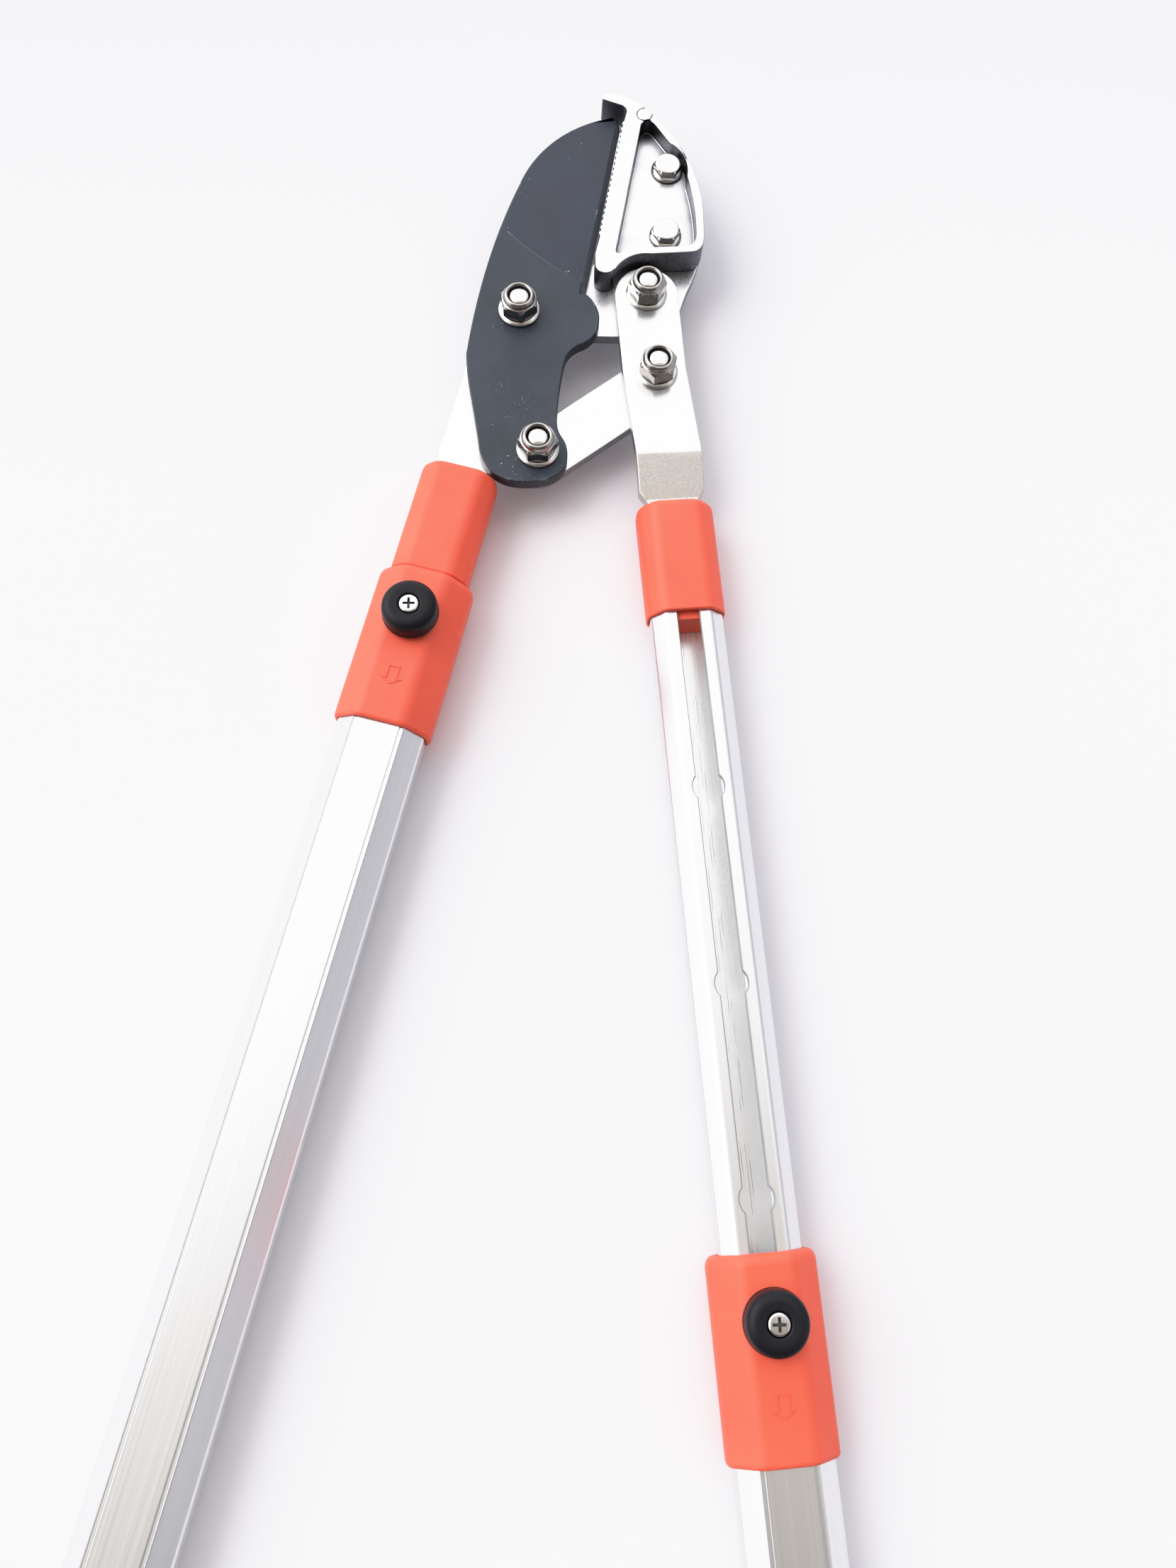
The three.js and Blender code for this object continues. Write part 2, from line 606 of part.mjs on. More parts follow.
function tangPlug() {
  const start = COLLAR_TOP_WALL + RUNNING_GAP;
  const tangHalf = TANG_HALF_WIDTH + RUNNING_GAP;
  const slotHalf = LEVER_THICKNESS / 2 + RUNNING_GAP;
  const reach = INNER_TUBE.depth;
  const rivetRadius = TANG_RIVET_RADIUS + SMALL_HOLE_CLEARANCE;
  return cut(
    bar(inset(INNER_TUBE, TUBE_WALL + RUNNING_GAP), start, PLUG_END),
    box([-tangHalf, -TANG_END - RUNNING_GAP, -slotHalf], [tangHalf, 0, slotHalf]),
    ...TANG_RIVETS.map((at) => disc({ x: 0, y: -at }, rivetRadius, -reach, reach, 16)),
  );
}

function tangRivet(at) {
  const half = INNER_TUBE.depth / 2;
  return disc({ x: 0, y: -at }, TANG_RIVET_RADIUS, -half, half, 16);
}

// The bush plugs the inner tube's lower end, and its flange slides in the outer tube.
function guideBush() {
  const flangeStart = INNER_TUBE_END + RUNNING_GAP;
  return joined(
    bar(inset(INNER_TUBE, TUBE_WALL + RUNNING_GAP), BUSH.start, flangeStart + OVERCUT),
    bar(inset(OUTER_TUBE, TUBE_WALL + RUNNING_GAP), flangeStart, flangeStart + BUSH.flangeLength),
  );
}

// ---------------------------------------------------------------- handle parts that slide

function outerTube() {
  const grooveFrom = OUTER_TUBE.flat / 2 - GROOVE.width;
  const face = OUTER_TUBE.depth / 2;
  const grooves = [-1, 1].flatMap((sideways) => [-1, 1].map((upwards) => {
    const across = [sideways * grooveFrom, sideways * (grooveFrom + GROOVE.width)].sort((a, b) => a - b);
    const heights = [upwards * (face - GROOVE.depth), upwards * (face + OVERCUT)].sort((a, b) => a - b);
    return box(
      [across[0], -OUTER_TUBE_END - OVERCUT, heights[0]],
      [across[1], -OUTER_TUBE_START + OVERCUT, heights[1]],
    );
  }));
  return cut(
    bar(OUTER_TUBE, OUTER_TUBE_START, OUTER_TUBE_END),
    bar(inset(OUTER_TUBE, TUBE_WALL), OUTER_TUBE_START - OVERCUT, OUTER_TUBE_END + OVERCUT),
    disc({ x: 0, y: -BUTTON_AT }, PIN.collarRadius + SMALL_HOLE_CLEARANCE, 0, face + OVERCUT),
    ...grooves,
  );
}

// The outline of a stubby arrow that points down the handle, the way the outer tube is pulled.
function arrowShape(margin) {
  const stem = { half: 2.1 - margin, from: -39.1 - margin };
  const head = { half: 4 - 2.2 * margin, wings: -43.6 - margin, tip: -46.3 + 1.5 * margin };
  const shape = new THREE.Shape();
  shape.moveTo(-stem.half, stem.from);
  shape.lineTo(-stem.half, head.wings);
  shape.lineTo(-head.half, head.wings);
  shape.lineTo(0, head.tip);
  shape.lineTo(head.half, head.wings);
  shape.lineTo(stem.half, head.wings);
  shape.lineTo(stem.half, stem.from);
  return shape;
}

function arrow() {
  const face = HOUSING.depth / 2;
  const inner = slab(arrowShape(ARROW_LINE), face, face + OVERCUT);
  return slab(arrowShape(0), face - OVERCUT, face + ARROW_HEIGHT).subtract(inner);
}

function buttonHousing() {
  const { width, depth, side } = HOUSING;
  const mouth = { ...HOUSING, width: width - 5.2, depth: depth - 4.4, side: side - 1 };
  const tail = HOUSING_LENGTH;
  return cut(
    joined(
      loft([[0, mouth], [4.5, HOUSING], [tail, HOUSING]]),
      arrow(),
    ),
    bar(inset(INNER_TUBE, -RUNNING_GAP), -OVERCUT, OUTER_TUBE_START),
    bar(inset(OUTER_TUBE, -RUNNING_GAP), OUTER_TUBE_START - RUNNING_GAP, tail + OVERCUT),
    disc({ x: 0, y: -BUTTON_AT }, BUTTON_HOLE_RADIUS, 0, depth),
  );
}

function grip() {
  const swell = (width, depth) => ({ ...GRIP, width: GRIP.width + width, depth: GRIP.depth + depth });
  const length = OUTER_TUBE_END - GRIP_START;
  const along = (share, section) => [GRIP_START + share * length, section];
  return cut(
    loft([
      along(0, swell(-2.5, -2.5)), along(0.02, swell(0, 0)), along(0.1, swell(0, 0)),
      along(0.3, swell(-1.6, -1.2)), along(0.6, swell(-1, -0.6)), along(0.88, swell(1.2, 0)),
      along(1, swell(1.6, 0)),
    ]),
    bar(inset(OUTER_TUBE, -RUNNING_GAP), GRIP_START - OVERCUT, OUTER_TUBE_END + OVERCUT),
  );
}

function endCap() {
  const start = OUTER_TUBE_END + RUNNING_GAP;
  const face = { ...GRIP, width: GRIP.width + 1.6 };
  const rim = { width: face.width - 4, depth: face.depth - 4, flat: face.flat - 2, side: face.side - 2 };
  return joined(
    loft([[start, face], [start + END_CAP_LENGTH - 2, face], [start + END_CAP_LENGTH, rim]]),
    bar(inset(OUTER_TUBE, TUBE_WALL + RUNNING_GAP), OUTER_TUBE_END - END_CAP_PLUG, start + OVERCUT),
  );
}

// ---------------------------------------------------------------- button

const BUTTON_CENTRE = { x: 0, y: -BUTTON_AT };

function knob() {
  const counterbore = SCREW.headRadius + RUNNING_GAP;
  const hole = SCREW.shankRadius + RUNNING_GAP;
  const seat = KNOB.top - SCREW.headHeight - RUNNING_GAP;
  return turned([
    [hole, KNOB.roof], [KNOB.boreRadius, KNOB.roof], [KNOB.boreRadius, KNOB.base],
    [KNOB.radius, KNOB.base], [KNOB.radius, KNOB.base + 0.9], [KNOB.radius - 0.3, KNOB.base + 1.1],
    [KNOB.radius - 0.2, KNOB.top - 2.6], [KNOB.radius - 0.7, KNOB.top - 1.4],
    [KNOB.radius - 1.7, KNOB.top - 0.4], [KNOB.radius - 3.2, KNOB.top],
    [counterbore, KNOB.top], [counterbore, seat], [hole, seat], [hole, KNOB.roof],
  ], BUTTON_CENTRE);
}

function knobScrew() {
  const headLow = KNOB.top - SCREW.headHeight;
  const crossHalf = { long: 2.2, short: 0.45 };
  const floor = KNOB.top - 0.9;
  const y = -BUTTON_AT;
  const recess = [[crossHalf.long, crossHalf.short], [crossHalf.short, crossHalf.long]].map(
    ([halfX, halfY]) => box([-halfX, y - halfY, floor], [halfX, y + halfY, KNOB.top + OVERCUT]),
  );
  return cut(
    turned([
      [0, SCREW.shankEnd], [SCREW.shankRadius, SCREW.shankEnd], [SCREW.shankRadius, headLow],
      [SCREW.headRadius, headLow], [SCREW.headRadius, KNOB.top - 0.3],
      [SCREW.headRadius - 0.6, KNOB.top + 0.1], [0, KNOB.top + 0.2],
    ], BUTTON_CENTRE, 20),
    ...recess,
  );
}

// The locking pin: its wide collar fills a keyhole when locked, its neck runs along the slot.
function lockingPin() {
  const threadRadius = SCREW.shankRadius + RUNNING_GAP;
  const top = KNOB.roof - RUNNING_GAP;
  const threadEnd = SCREW.shankEnd - RUNNING_GAP;
  return turned([
    [0, PIN.collarBottom], [PIN.collarRadius, PIN.collarBottom], [PIN.collarRadius, PIN.collarTop],
    [PIN.neckRadius, PIN.collarTop], [PIN.neckRadius, top], [threadRadius, top],
    [threadRadius, threadEnd], [0, threadEnd],
  ], BUTTON_CENTRE, 20);
}

class Helix extends THREE.Curve {
  constructor(radius, low, high, turns) {
    super();
    Object.assign(this, { radius, low, high, turns });
  }

  getPoint(t, target = new THREE.Vector3()) {
    const angle = 2 * Math.PI * this.turns * t;
    const height = THREE.MathUtils.lerp(this.low, this.high, t);
    return target.set(this.radius * Math.cos(angle), this.radius * Math.sin(angle) - BUTTON_AT, height);
  }
}

function buttonSpring() {
  const low = OUTER_TUBE.depth / 2 + RUNNING_GAP + SPRING.wire;
  const high = KNOB.roof - RUNNING_GAP - SPRING.wire;
  const wire = hexagon({ x: 0, y: 0 }, 2 * SPRING.wire);
  const extrudePath = new Helix(SPRING.radius, low, high, SPRING.turns);
  return solidOf(new THREE.ExtrudeGeometry(wire, { steps: 14 * SPRING.turns, extrudePath }));
}

// ---------------------------------------------------------------- assembly

function headAssembly() {
  const head = new THREE.Group();
  const rivetRadius = ANVIL_RIVET.radius;
  head.add(
    part("body_plate", bodyPlate(), STEEL),
    part("anvil_casting", anvilCasting(), CASTING),
    part("anvil_bolt_upper", anvilBolt(ANVIL_BOLTS.upper), NUT_STEEL),
    part("anvil_bolt_lower", anvilBolt(ANVIL_BOLTS.lower), NUT_STEEL),
    part("anvil_rivet", disc(ANVIL_RIVET, rivetRadius, PLATE_BOTTOM, CASTING_TOP, 20), NUT_STEEL),
    part("blade", blade(), BLADE_COAT),
    part("link", link(), STEEL),
    part("lever", lever(), STEEL),
    ...pivotFasteners("blade_pivot", BLADE_PIVOT, NUT_TURNS.bladePivot),
    ...pivotFasteners("blade_link", BLADE_LINK_PIVOT, NUT_TURNS.bladeLink),
    ...pivotFasteners("lever_pivot", LEVER_PIVOT, NUT_TURNS.leverPivot),
    ...pivotFasteners("lever_link", LEVER_LINK_PIVOT, NUT_TURNS.leverLink),
  );
  return head;
}

function fixedHandle(side) {
  const group = new THREE.Group();
  group.add(
    part(`${side}_inner_tube`, innerTube(), TUBE_METAL),
    part(`${side}_collar`, collar(), ORANGE),
    part(`${side}_tang_plug`, tangPlug(), ORANGE),
    part(`${side}_tang_rivet_upper`, tangRivet(TANG_RIVETS[0]), NUT_STEEL),
    part(`${side}_tang_rivet_lower`, tangRivet(TANG_RIVETS[1]), NUT_STEEL),
    part(`${side}_guide_bush`, guideBush(), BLACK),
  );
  return group;
}

function slidingHandle(side) {
  const group = new THREE.Group();
  group.add(
    part(`${side}_outer_tube`, outerTube(), TUBE_METAL),
    part(`${side}_button_housing`, buttonHousing(), ORANGE),
    part(`${side}_grip`, grip(), RUBBER),
    part(`${side}_end_cap`, endCap(), ORANGE),
    part(`${side}_button_spring`, buttonSpring(), SPRING_STEEL),
    part(`${side}_button_knob`, knob(), BLACK),
    part(`${side}_button_screw`, knobScrew(), NUT_STEEL),
    part(`${side}_locking_pin`, lockingPin(), NUT_STEEL),
  );
  return group;
}

function handleAssembly(side) {
  const { x, lean, collarAt, extension } = HANDLES[side];
  const handle = new THREE.Group();
  handle.position.set(x, 0, HANDLE_AXIS_Z);
  handle.rotation.z = THREE.MathUtils.degToRad(lean);
  const fixed = fixedHandle(side);
  fixed.position.y = -collarAt;
  const sliding = slidingHandle(side);
  sliding.position.y = -collarAt - COLLAR_LENGTH - RUNNING_GAP - extension;
  handle.add(fixed, sliding);
  return handle;
}

const tool = new THREE.Group();
tool.add(headAssembly(), handleAssembly("left"), handleAssembly("right"));

const loppers = new THREE.Group();
loppers.name = "anvil_loppers";
loppers.add(tool);
loppers.updateMatrixWorld(true);
const extent = new THREE.Box3().setFromObject(loppers, true);
const centre = extent.getCenter(new THREE.Vector3());
tool.position.set(-centre.x, -centre.y, -extent.min.z);
loppers.updateMatrixWorld(true);

export default loppers;
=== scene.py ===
"""Telescopic anvil loppers: detailed pieces, procedural materials, floor, light and camera.

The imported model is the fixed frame. Every piece stands for one CAD node and rides on its body.
Sizes are millimetres (MM turns them into metres) and places come from the frame.
"""
import json
import math

import bmesh
import bpy
from mathutils import Matrix, Vector


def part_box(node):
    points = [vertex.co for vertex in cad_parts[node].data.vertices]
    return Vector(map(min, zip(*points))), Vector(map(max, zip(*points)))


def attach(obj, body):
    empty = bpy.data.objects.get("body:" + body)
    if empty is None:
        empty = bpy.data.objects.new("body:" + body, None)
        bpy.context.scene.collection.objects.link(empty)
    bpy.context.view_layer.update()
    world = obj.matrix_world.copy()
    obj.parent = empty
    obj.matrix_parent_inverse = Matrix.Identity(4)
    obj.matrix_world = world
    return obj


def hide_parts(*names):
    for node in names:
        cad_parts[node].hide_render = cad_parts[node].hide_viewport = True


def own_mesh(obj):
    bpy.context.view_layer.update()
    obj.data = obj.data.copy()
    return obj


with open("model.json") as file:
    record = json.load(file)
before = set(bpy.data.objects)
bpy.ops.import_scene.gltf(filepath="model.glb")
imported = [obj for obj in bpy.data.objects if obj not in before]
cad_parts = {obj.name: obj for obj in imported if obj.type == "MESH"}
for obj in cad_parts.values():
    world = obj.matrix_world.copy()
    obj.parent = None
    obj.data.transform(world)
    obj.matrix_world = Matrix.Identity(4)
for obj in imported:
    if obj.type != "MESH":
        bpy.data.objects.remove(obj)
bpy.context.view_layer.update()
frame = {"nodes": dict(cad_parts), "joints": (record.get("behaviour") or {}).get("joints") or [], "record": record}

MM = 0.001
WELD = 0.002 * MM
FLAT_ANGLE = math.radians(0.6)
SHARP_ANGLE = math.radians(32)
CORNER_ANGLE = math.radians(38)
BEND_ANGLE = math.radians(8)
OPEN_CUT_LIMIT = 0.45
CLOSED_CUT_LIMIT = 0.48
HEX_HALF = 30

# ---------------------------------------------------------------- the frame

BODY_OF = {n: body for body, ns in frame["record"]["behaviour"]["bodies"].items() for n in ns}
JOINTS = {joint["name"]: joint for joint in frame["joints"]}
SIDES = ("left", "right")

BLADE_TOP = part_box("blade")[1].z
PLATE_LOW, PLATE_HIGH = (corner.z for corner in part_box("body_plate"))
HANDLE_AXIS = (PLATE_LOW + PLATE_HIGH) / 2


def pivot(joint):
    x, y, _ = JOINTS[joint]["pos_m"]
    return Vector((x, y, BLADE_TOP))


def middle(node):
    low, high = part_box(node)
    return (low + high) / 2


# ---------------------------------------------------------------- mesh helpers

def new_object(name, grid):
    mesh = bpy.data.meshes.new(name)
    grid.to_mesh(mesh)
    grid.free()
    piece = bpy.data.objects.new(name, mesh)
    bpy.context.scene.collection.objects.link(piece)
    return piece


def from_rings(rings, closed):
    """Joins rings of points, each of the same count, into one closed skin."""
    grid = bmesh.new()
    rows = [[grid.verts.new(point) for point in ring] for ring in rings]
    pairs = list(zip(rows, rows[1:]))
    if closed:
        pairs.append((rows[-1], rows[0]))
    for near, far in pairs:
        for i in range(len(near)):
            k = (i + 1) % len(near)
            grid.faces.new((near[i], near[k], far[k], far[i]))
    if not closed:
        grid.faces.new(reversed(rows[0]))
        grid.faces.new(rows[-1])
    bmesh.ops.remove_doubles(grid, verts=grid.verts, dist=WELD)
    bmesh.ops.recalc_face_normals(grid, faces=grid.faces)
    return grid


def rounded(corners, cut, steps=4):
    """The open outline through corners, with each inner corner replaced by a soft curve."""
    points = [corners[0]]
    for before, corner, after in zip(corners, corners[1:], corners[2:]):
        corner = Vector(corner)
        ends = []
        for other in (before, after):
            way = Vector(other) - corner
            ends.append(corner + way * min(cut / way.length, OPEN_CUT_LIMIT))
        for step in range(steps + 1):
            t = step / steps
            points.append((1 - t) ** 2 * ends[0] + 2 * t * (1 - t) * corner + t * t * ends[1])
    return [tuple(point) for point in points] + [corners[-1]]


def hexagon_reach(flats, degrees):
    """The distance from a hexagon's centre to its edge, from its width across flats, at an angle."""
    off = (degrees + HEX_HALF) % (2 * HEX_HALF) - HEX_HALF
    return flats / 2 / math.cos(math.radians(HEX_HALF - abs(off)))


def turned(profile, place, closed=True, flats=None, turn=0, steps=72):
    """A turned piece from (radius, height) points. With flats, no radius passes that hexagon."""
    rings = []
    for radius, height in profile:
        ring = []
        for step in range(steps):
            angle = 2 * math.pi * step / steps
            reach = radius
            if flats:
                reach = min(radius, hexagon_reach(flats, math.degrees(angle)))
            heading = angle + math.radians(turn)
            ring.append(place + Vector((reach * math.cos(heading), reach * math.sin(heading), height)) * MM)
        rings.append(ring)
    return from_rings(rings, closed)


def softened(half, steps=5):
    """A closed outline from one half of its (x, z, cut) corners, each rounded over its cut."""
    marks = half + [(-x, -z, cut) for x, z, cut in half]
    corners = [Vector((x, z)) for x, z, _ in marks]
    points = []
    for i, corner in enumerate(corners):
        cut = marks[i][2]
        before, after = corners[i - 1] - corner, corners[(i + 1) % len(corners)] - corner
        start = corner + before * min(cut / before.length, CLOSED_CUT_LIMIT)
        end = corner + after * min(cut / after.length, CLOSED_CUT_LIMIT)
        for step in range(steps + 1):
            t = step / steps
            points.append((1 - t) ** 2 * start + 2 * t * (1 - t) * corner + t * t * end)
    return points


def section(width, depth, flat, side, cut):
    """An eight-sided handle section with its corners rounded over a length cut, in millimetres."""
    half = [(flat, -depth), (width, -side), (width, side), (flat, depth)]
    return softened([(x / 2, z / 2, cut) for x, z in half])


def along(matrix, at, outline):
    return [matrix @ (Vector((p.x, -at, p.y)) * MM) for p in outline]


def boolean(piece, tool, operation):
    """Cuts tool from piece, or joins it on, and removes the tool."""
    change = piece.modifiers.new("change", "BOOLEAN")
    change.operation = operation
    change.solver = "EXACT"
    change.object = tool
    bpy.context.view_layer.update()
    shaped = piece.evaluated_get(bpy.context.evaluated_depsgraph_get())
    mesh = bpy.data.meshes.new_from_object(shaped)
    piece.modifiers.clear()
    piece.data = mesh
    bpy.data.objects.remove(tool)


def corner_edge(edge):
    return edge.calc_face_angle() > CORNER_ANGLE


def refined(node, edge, segments=3, chosen=corner_edge, reshape=None):
    """The CAD node's own shape with its flat faces merged and its sharp edges rounded."""
    grid = bmesh.new()
    grid.from_mesh(frame["nodes"][node].data)
    bmesh.ops.remove_doubles(grid, verts=grid.verts, dist=WELD)
    bmesh.ops.dissolve_limit(grid, angle_limit=FLAT_ANGLE, verts=grid.verts, edges=grid.edges)
    grid.normal_update()
    sharp = [e for e in grid.edges if len(e.link_faces) == 2 and chosen(e)]
    if reshape:
        reshape(grid)
    bmesh.ops.bevel(
        grid, geom=sharp, offset=edge * MM, offset_type="OFFSET", segments=segments, profile=0.5,
        affect="EDGES", clamp_overlap=False, miter_outer="SHARP", miter_inner="SHARP",
    )
    bmesh.ops.remove_doubles(grid, verts=grid.verts, dist=WELD)
    return new_object(f"{node}_fine", grid)


def place_piece(piece, node, *looks):
    """Gives the piece its materials and smooth shading, and lets it stand for its CAD node."""
    piece.data.materials.clear()
    for look in looks:
        piece.data.materials.append(look)
    piece.data.shade_smooth()
    piece.data.set_sharp_from_angle(angle=SHARP_ANGLE)
    flatten = piece.modifiers.new("even normals", "WEIGHTED_NORMAL")
    flatten.keep_sharp = True
    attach(piece, BODY_OF[node])
    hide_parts(node)


# ---------------------------------------------------------------- material helpers

EDGE_TURN = (0.985, 0.90)
WALL_TILT = (0.85, 0.45)
CREVICE_SHADE = (0.85, 0.35)
MIX_A, MIX_B, MIX_RESULT = 6, 7, 2


class Look:
    """A node material with one Principled shader, and short calls to add what feeds it."""

    def __init__(self, name, **settings):
        self.material = bpy.data.materials.new(name)
        self.material.use_nodes = True
        self.tree = self.material.node_tree
        self.shader = self.tree.nodes["Principled BSDF"]
        for socket, value in settings.items():
            self.shader.inputs[socket.replace("_", " ")].default_value = value
        self.places = self.tree.nodes.new("ShaderNodeTexCoord").outputs["Object"]

    def node(self, kind, inputs=None, **settings):
        made = self.tree.nodes.new("ShaderNode" + kind)
        for name, value in settings.items():
            setattr(made, name, value)
        for key, value in (inputs or {}).items():
            self.feed(value, made.inputs[key])
        return made

    def feed(self, value, socket):
        if isinstance(value, bpy.types.NodeSocket):
            self.tree.links.new(value, socket)
        else:
            socket.default_value = value

    def stretched(self, scale, turn=0):
        """Object coordinates turned about Z and scaled along each axis."""
        spun = self.node("Mapping", {"Vector": self.places, "Rotation": (0, 0, turn)})
        return self.node("Mapping", {"Vector": spun.outputs[0], "Scale": scale}).outputs[0]

    def noise(self, scale, detail=3, where=None, rough=0.5):
        where = where or self.places
        made = self.node("TexNoise", {"Vector": where, "Scale": scale, "Detail": detail, "Roughness": rough})
        return made.outputs["Fac"]

    def levels(self, value, low, high, to_low=0.0, to_high=1.0):
        sockets = {"Value": value, 1: low, 2: high, 3: to_low, 4: to_high}
        return self.node("MapRange", sockets, clamp=True).outputs[0]

    def math(self, operation, a, b=0.0):
        return self.node("Math", {0: a, 1: b}, operation=operation).outputs[0]

    def mix(self, share, a, b):
        made = self.node("Mix", {0: share}, data_type="RGBA")
        self.feed(a, made.inputs[MIX_A])
        self.feed(b, made.inputs[MIX_B])
        return made.outputs[MIX_RESULT]

    def colour(self, value):
        self.feed(value, self.shader.inputs["Base Color"])

    def roughness(self, value):
        self.feed(value, self.shader.inputs["Roughness"])

    def bump(self, height, strength, distance, base=None):
        made = self.node("Bump", {"Height": height, "Strength": strength, "Distance": distance})
        if base:
            self.feed(base, made.inputs["Normal"])
        self.feed(made.outputs[0], self.shader.inputs["Normal"])
        return made.outputs[0]

    def edge_wear_and_shade(self, radius):
        """1 on convex edges and 0 on flat faces, from the rounded normal's turn: a mask for edge wear and for
        painted edge shade.
        """
        soft = self.node("Bevel", {"Radius": radius * MM}, samples=6).outputs[0]
        true = self.node("NewGeometry").outputs["Normal"]
        turn = self.node("VectorMath", {0: soft, 1: true}, operation="DOT_PRODUCT").outputs["Value"]
        return self.levels(turn, *EDGE_TURN)

    def steepness(self):
        """0 where a face looks straight up or down, 1 where it is a side wall."""
        normal = self.node("NewGeometry").outputs["True Normal"]
        height = self.node("SeparateXYZ", {0: normal}).outputs["Z"]
        return self.levels(self.math("ABSOLUTE", height), *WALL_TILT)

    def crevice(self, reach):
        """1 in tight inner corners and 0 in the open."""
        open_sky = self.node("AmbientOcclusion", {"Distance": reach * MM}, samples=8).outputs["AO"]
        return self.levels(open_sky, *CREVICE_SHADE)


def rgb(red, green, blue):
    return (red, green, blue, 1.0)


# ---------------------------------------------------------------- materials

def plated_steel(name, blasted_from=None):
    """Bright plated steel, which is dull and speckled where Y is below blasted_from, in metres."""
    look = Look(name, Metallic=1.0)
    grain = look.noise(1400, 3, rough=0.6)
    cloud = look.noise(120, 4)
    wall = look.steepness()
    pits = look.levels(look.noise(900, 1), 0.74, 0.77)
    face = look.mix(look.levels(cloud, 0.3, 0.7), rgb(0.86, 0.865, 0.875), rgb(0.94, 0.94, 0.945))
    # Side walls are darker: partly the rough sheared edge, partly painted shade.
    shorn_and_shaded = look.mix(look.levels(grain, 0.35, 0.65), rgb(0.17, 0.175, 0.19), rgb(0.30, 0.305, 0.32))
    look.colour(look.mix(look.math("MULTIPLY", pits, 0.5), look.mix(wall, face, shorn_and_shaded), rgb(0.2, 0.2, 0.2)))
    finish = look.levels(grain, 0.3, 0.7, 0.26, 0.36)
    finish = look.math("ADD", finish, look.math("MULTIPLY", wall, 0.15))
    if blasted_from is not None:
        clean = look.shader.inputs["Base Color"].links[0].from_socket
        ragged = look.math("MULTIPLY", look.math("SUBTRACT", look.noise(60, 3), 0.5), 6 * MM)
        height = look.math("ADD", look.node("SeparateXYZ", {0: look.places}).outputs["Y"], ragged)
        dull = look.levels(height, blasted_from + 2.5 * MM, blasted_from - 1.5 * MM)
        specks = look.levels(look.noise(2600, 2), 0.45, 0.7)
        speckle = look.mix(specks, rgb(0.55, 0.525, 0.50), rgb(0.74, 0.72, 0.69))
        look.colour(look.mix(dull, clean, speckle))
        finish = look.math("ADD", finish, look.math("MULTIPLY", dull, 0.1))
    look.roughness(finish)
    look.bump(grain, 0.12, 0.03 * MM)
    return look.material


def die_casting():
    look = Look("die_casting", Metallic=1.0)
    wall = look.steepness()
    skin = look.noise(700, 5, rough=0.7)
    cloud = look.noise(90, 3)
    top = look.mix(look.levels(cloud, 0.3, 0.62), rgb(0.62, 0.63, 0.66), rgb(0.93, 0.93, 0.94))
    # Side walls are painted far darker than the top faces: painted shade.
    side = look.mix(look.levels(skin, 0.35, 0.65), rgb(0.085, 0.09, 0.105), rgb(0.16, 0.165, 0.185))
    # Tight inner corners are darkened: painted shade in the crevices.
    painted_crevice_shade = look.math("MULTIPLY", look.crevice(6.0), 0.85)
    look.colour(look.mix(painted_crevice_shade, look.mix(wall, top, side), rgb(0.05, 0.05, 0.06)))
    look.roughness(look.levels(wall, 0, 1, 0.34, 0.42))
    look.bump(skin, 0.25, 0.05 * MM)
    return look.material


# (x, y, radius) in millimetres from the blade's pivot, where the coating is chipped.
WEAR_SPOTS = (
    (1, 60, 7), (-6, 38, 3.5), (24, 80, 3), (20, 16, 5), (27, 10, 4), (-8, -6, 3), (-13, -33, 4),
    (-6, -34, 4), (3, -40, 6), (-2, -45, 5), (-11, -50, 3), (-4, -66, 5), (-2, -73, 5), (8, -76, 7),
)
SCRATCH_TURN = 55
GRINDING_TURN = -10.8


def coated_blade(name, low, high):
    look = Look(name, Specular_IOR_Level=0.36)
    mottle = look.noise(34, 6, rough=0.65)
    grain = look.noise(1500, 3, rough=0.7)
    coat = look.mix(look.levels(mottle, 0.35, 0.65), rgb(*low), rgb(*high))
    near = None
    for x, y, radius in WEAR_SPOTS:
        spot = pivot("blade_pivot") + Vector((x, y, 0)) * MM
        away = look.node("VectorMath", {0: look.places, 1: spot}, operation="DISTANCE").outputs["Value"]
        close = look.levels(away, radius * MM, 0.5 * radius * MM)
        near = look.math("MAXIMUM", near, close) if near else close
    flecks = look.levels(look.noise(1150, 2), 0.69, 0.71)
    spots = look.math("MULTIPLY", near, flecks)
    strays = look.levels(look.noise(520, 2), 0.80, 0.815)
    worn_from = look.math("SUBTRACT", 0.64, look.math("MULTIPLY", near, 0.16))
    rubbed = look.levels(look.noise(160, 4), worn_from, 0.7)
    bare = look.math("MAXIMUM", spots, look.math("MULTIPLY", look.edge_wear_and_shade(1.3), rubbed))
    bare = look.math("MAXIMUM", bare, strays)
    # Side walls are painted darker than the coat's faces: painted shade.
    wall_shaded_coat = look.mix(look.math("MULTIPLY", look.steepness(), 0.6), coat, rgb(0.006, 0.007, 0.010))
    look.colour(look.mix(bare, wall_shaded_coat, rgb(0.45, 0.46, 0.48)))
    look.feed(bare, look.shader.inputs["Metallic"])
    look.roughness(look.levels(mottle, 0.3, 0.7, 0.36, 0.52))
    scratches = look.noise(1.0, 2, look.stretched((2400, 60, 400), math.radians(SCRATCH_TURN)), 0.4)
    relief = look.bump(grain, 0.20, 0.03 * MM)
    look.bump(look.levels(scratches, 0.66, 0.70), 0.15, 0.03 * MM, relief)
    return look.material


def honed_edge():
    look = Look("honed_edge", Metallic=0.5)
    lines = look.noise(1.0, 3, look.stretched((300, 3200, 300), math.radians(GRINDING_TURN)), 0.6)
    look.colour(look.mix(lines, rgb(0.11, 0.125, 0.15), rgb(0.24, 0.26, 0.29)))
    look.roughness(look.levels(lines, 0.3, 0.7, 0.34, 0.46))
    look.bump(lines, 0.2, 0.02 * MM)
    return look.material


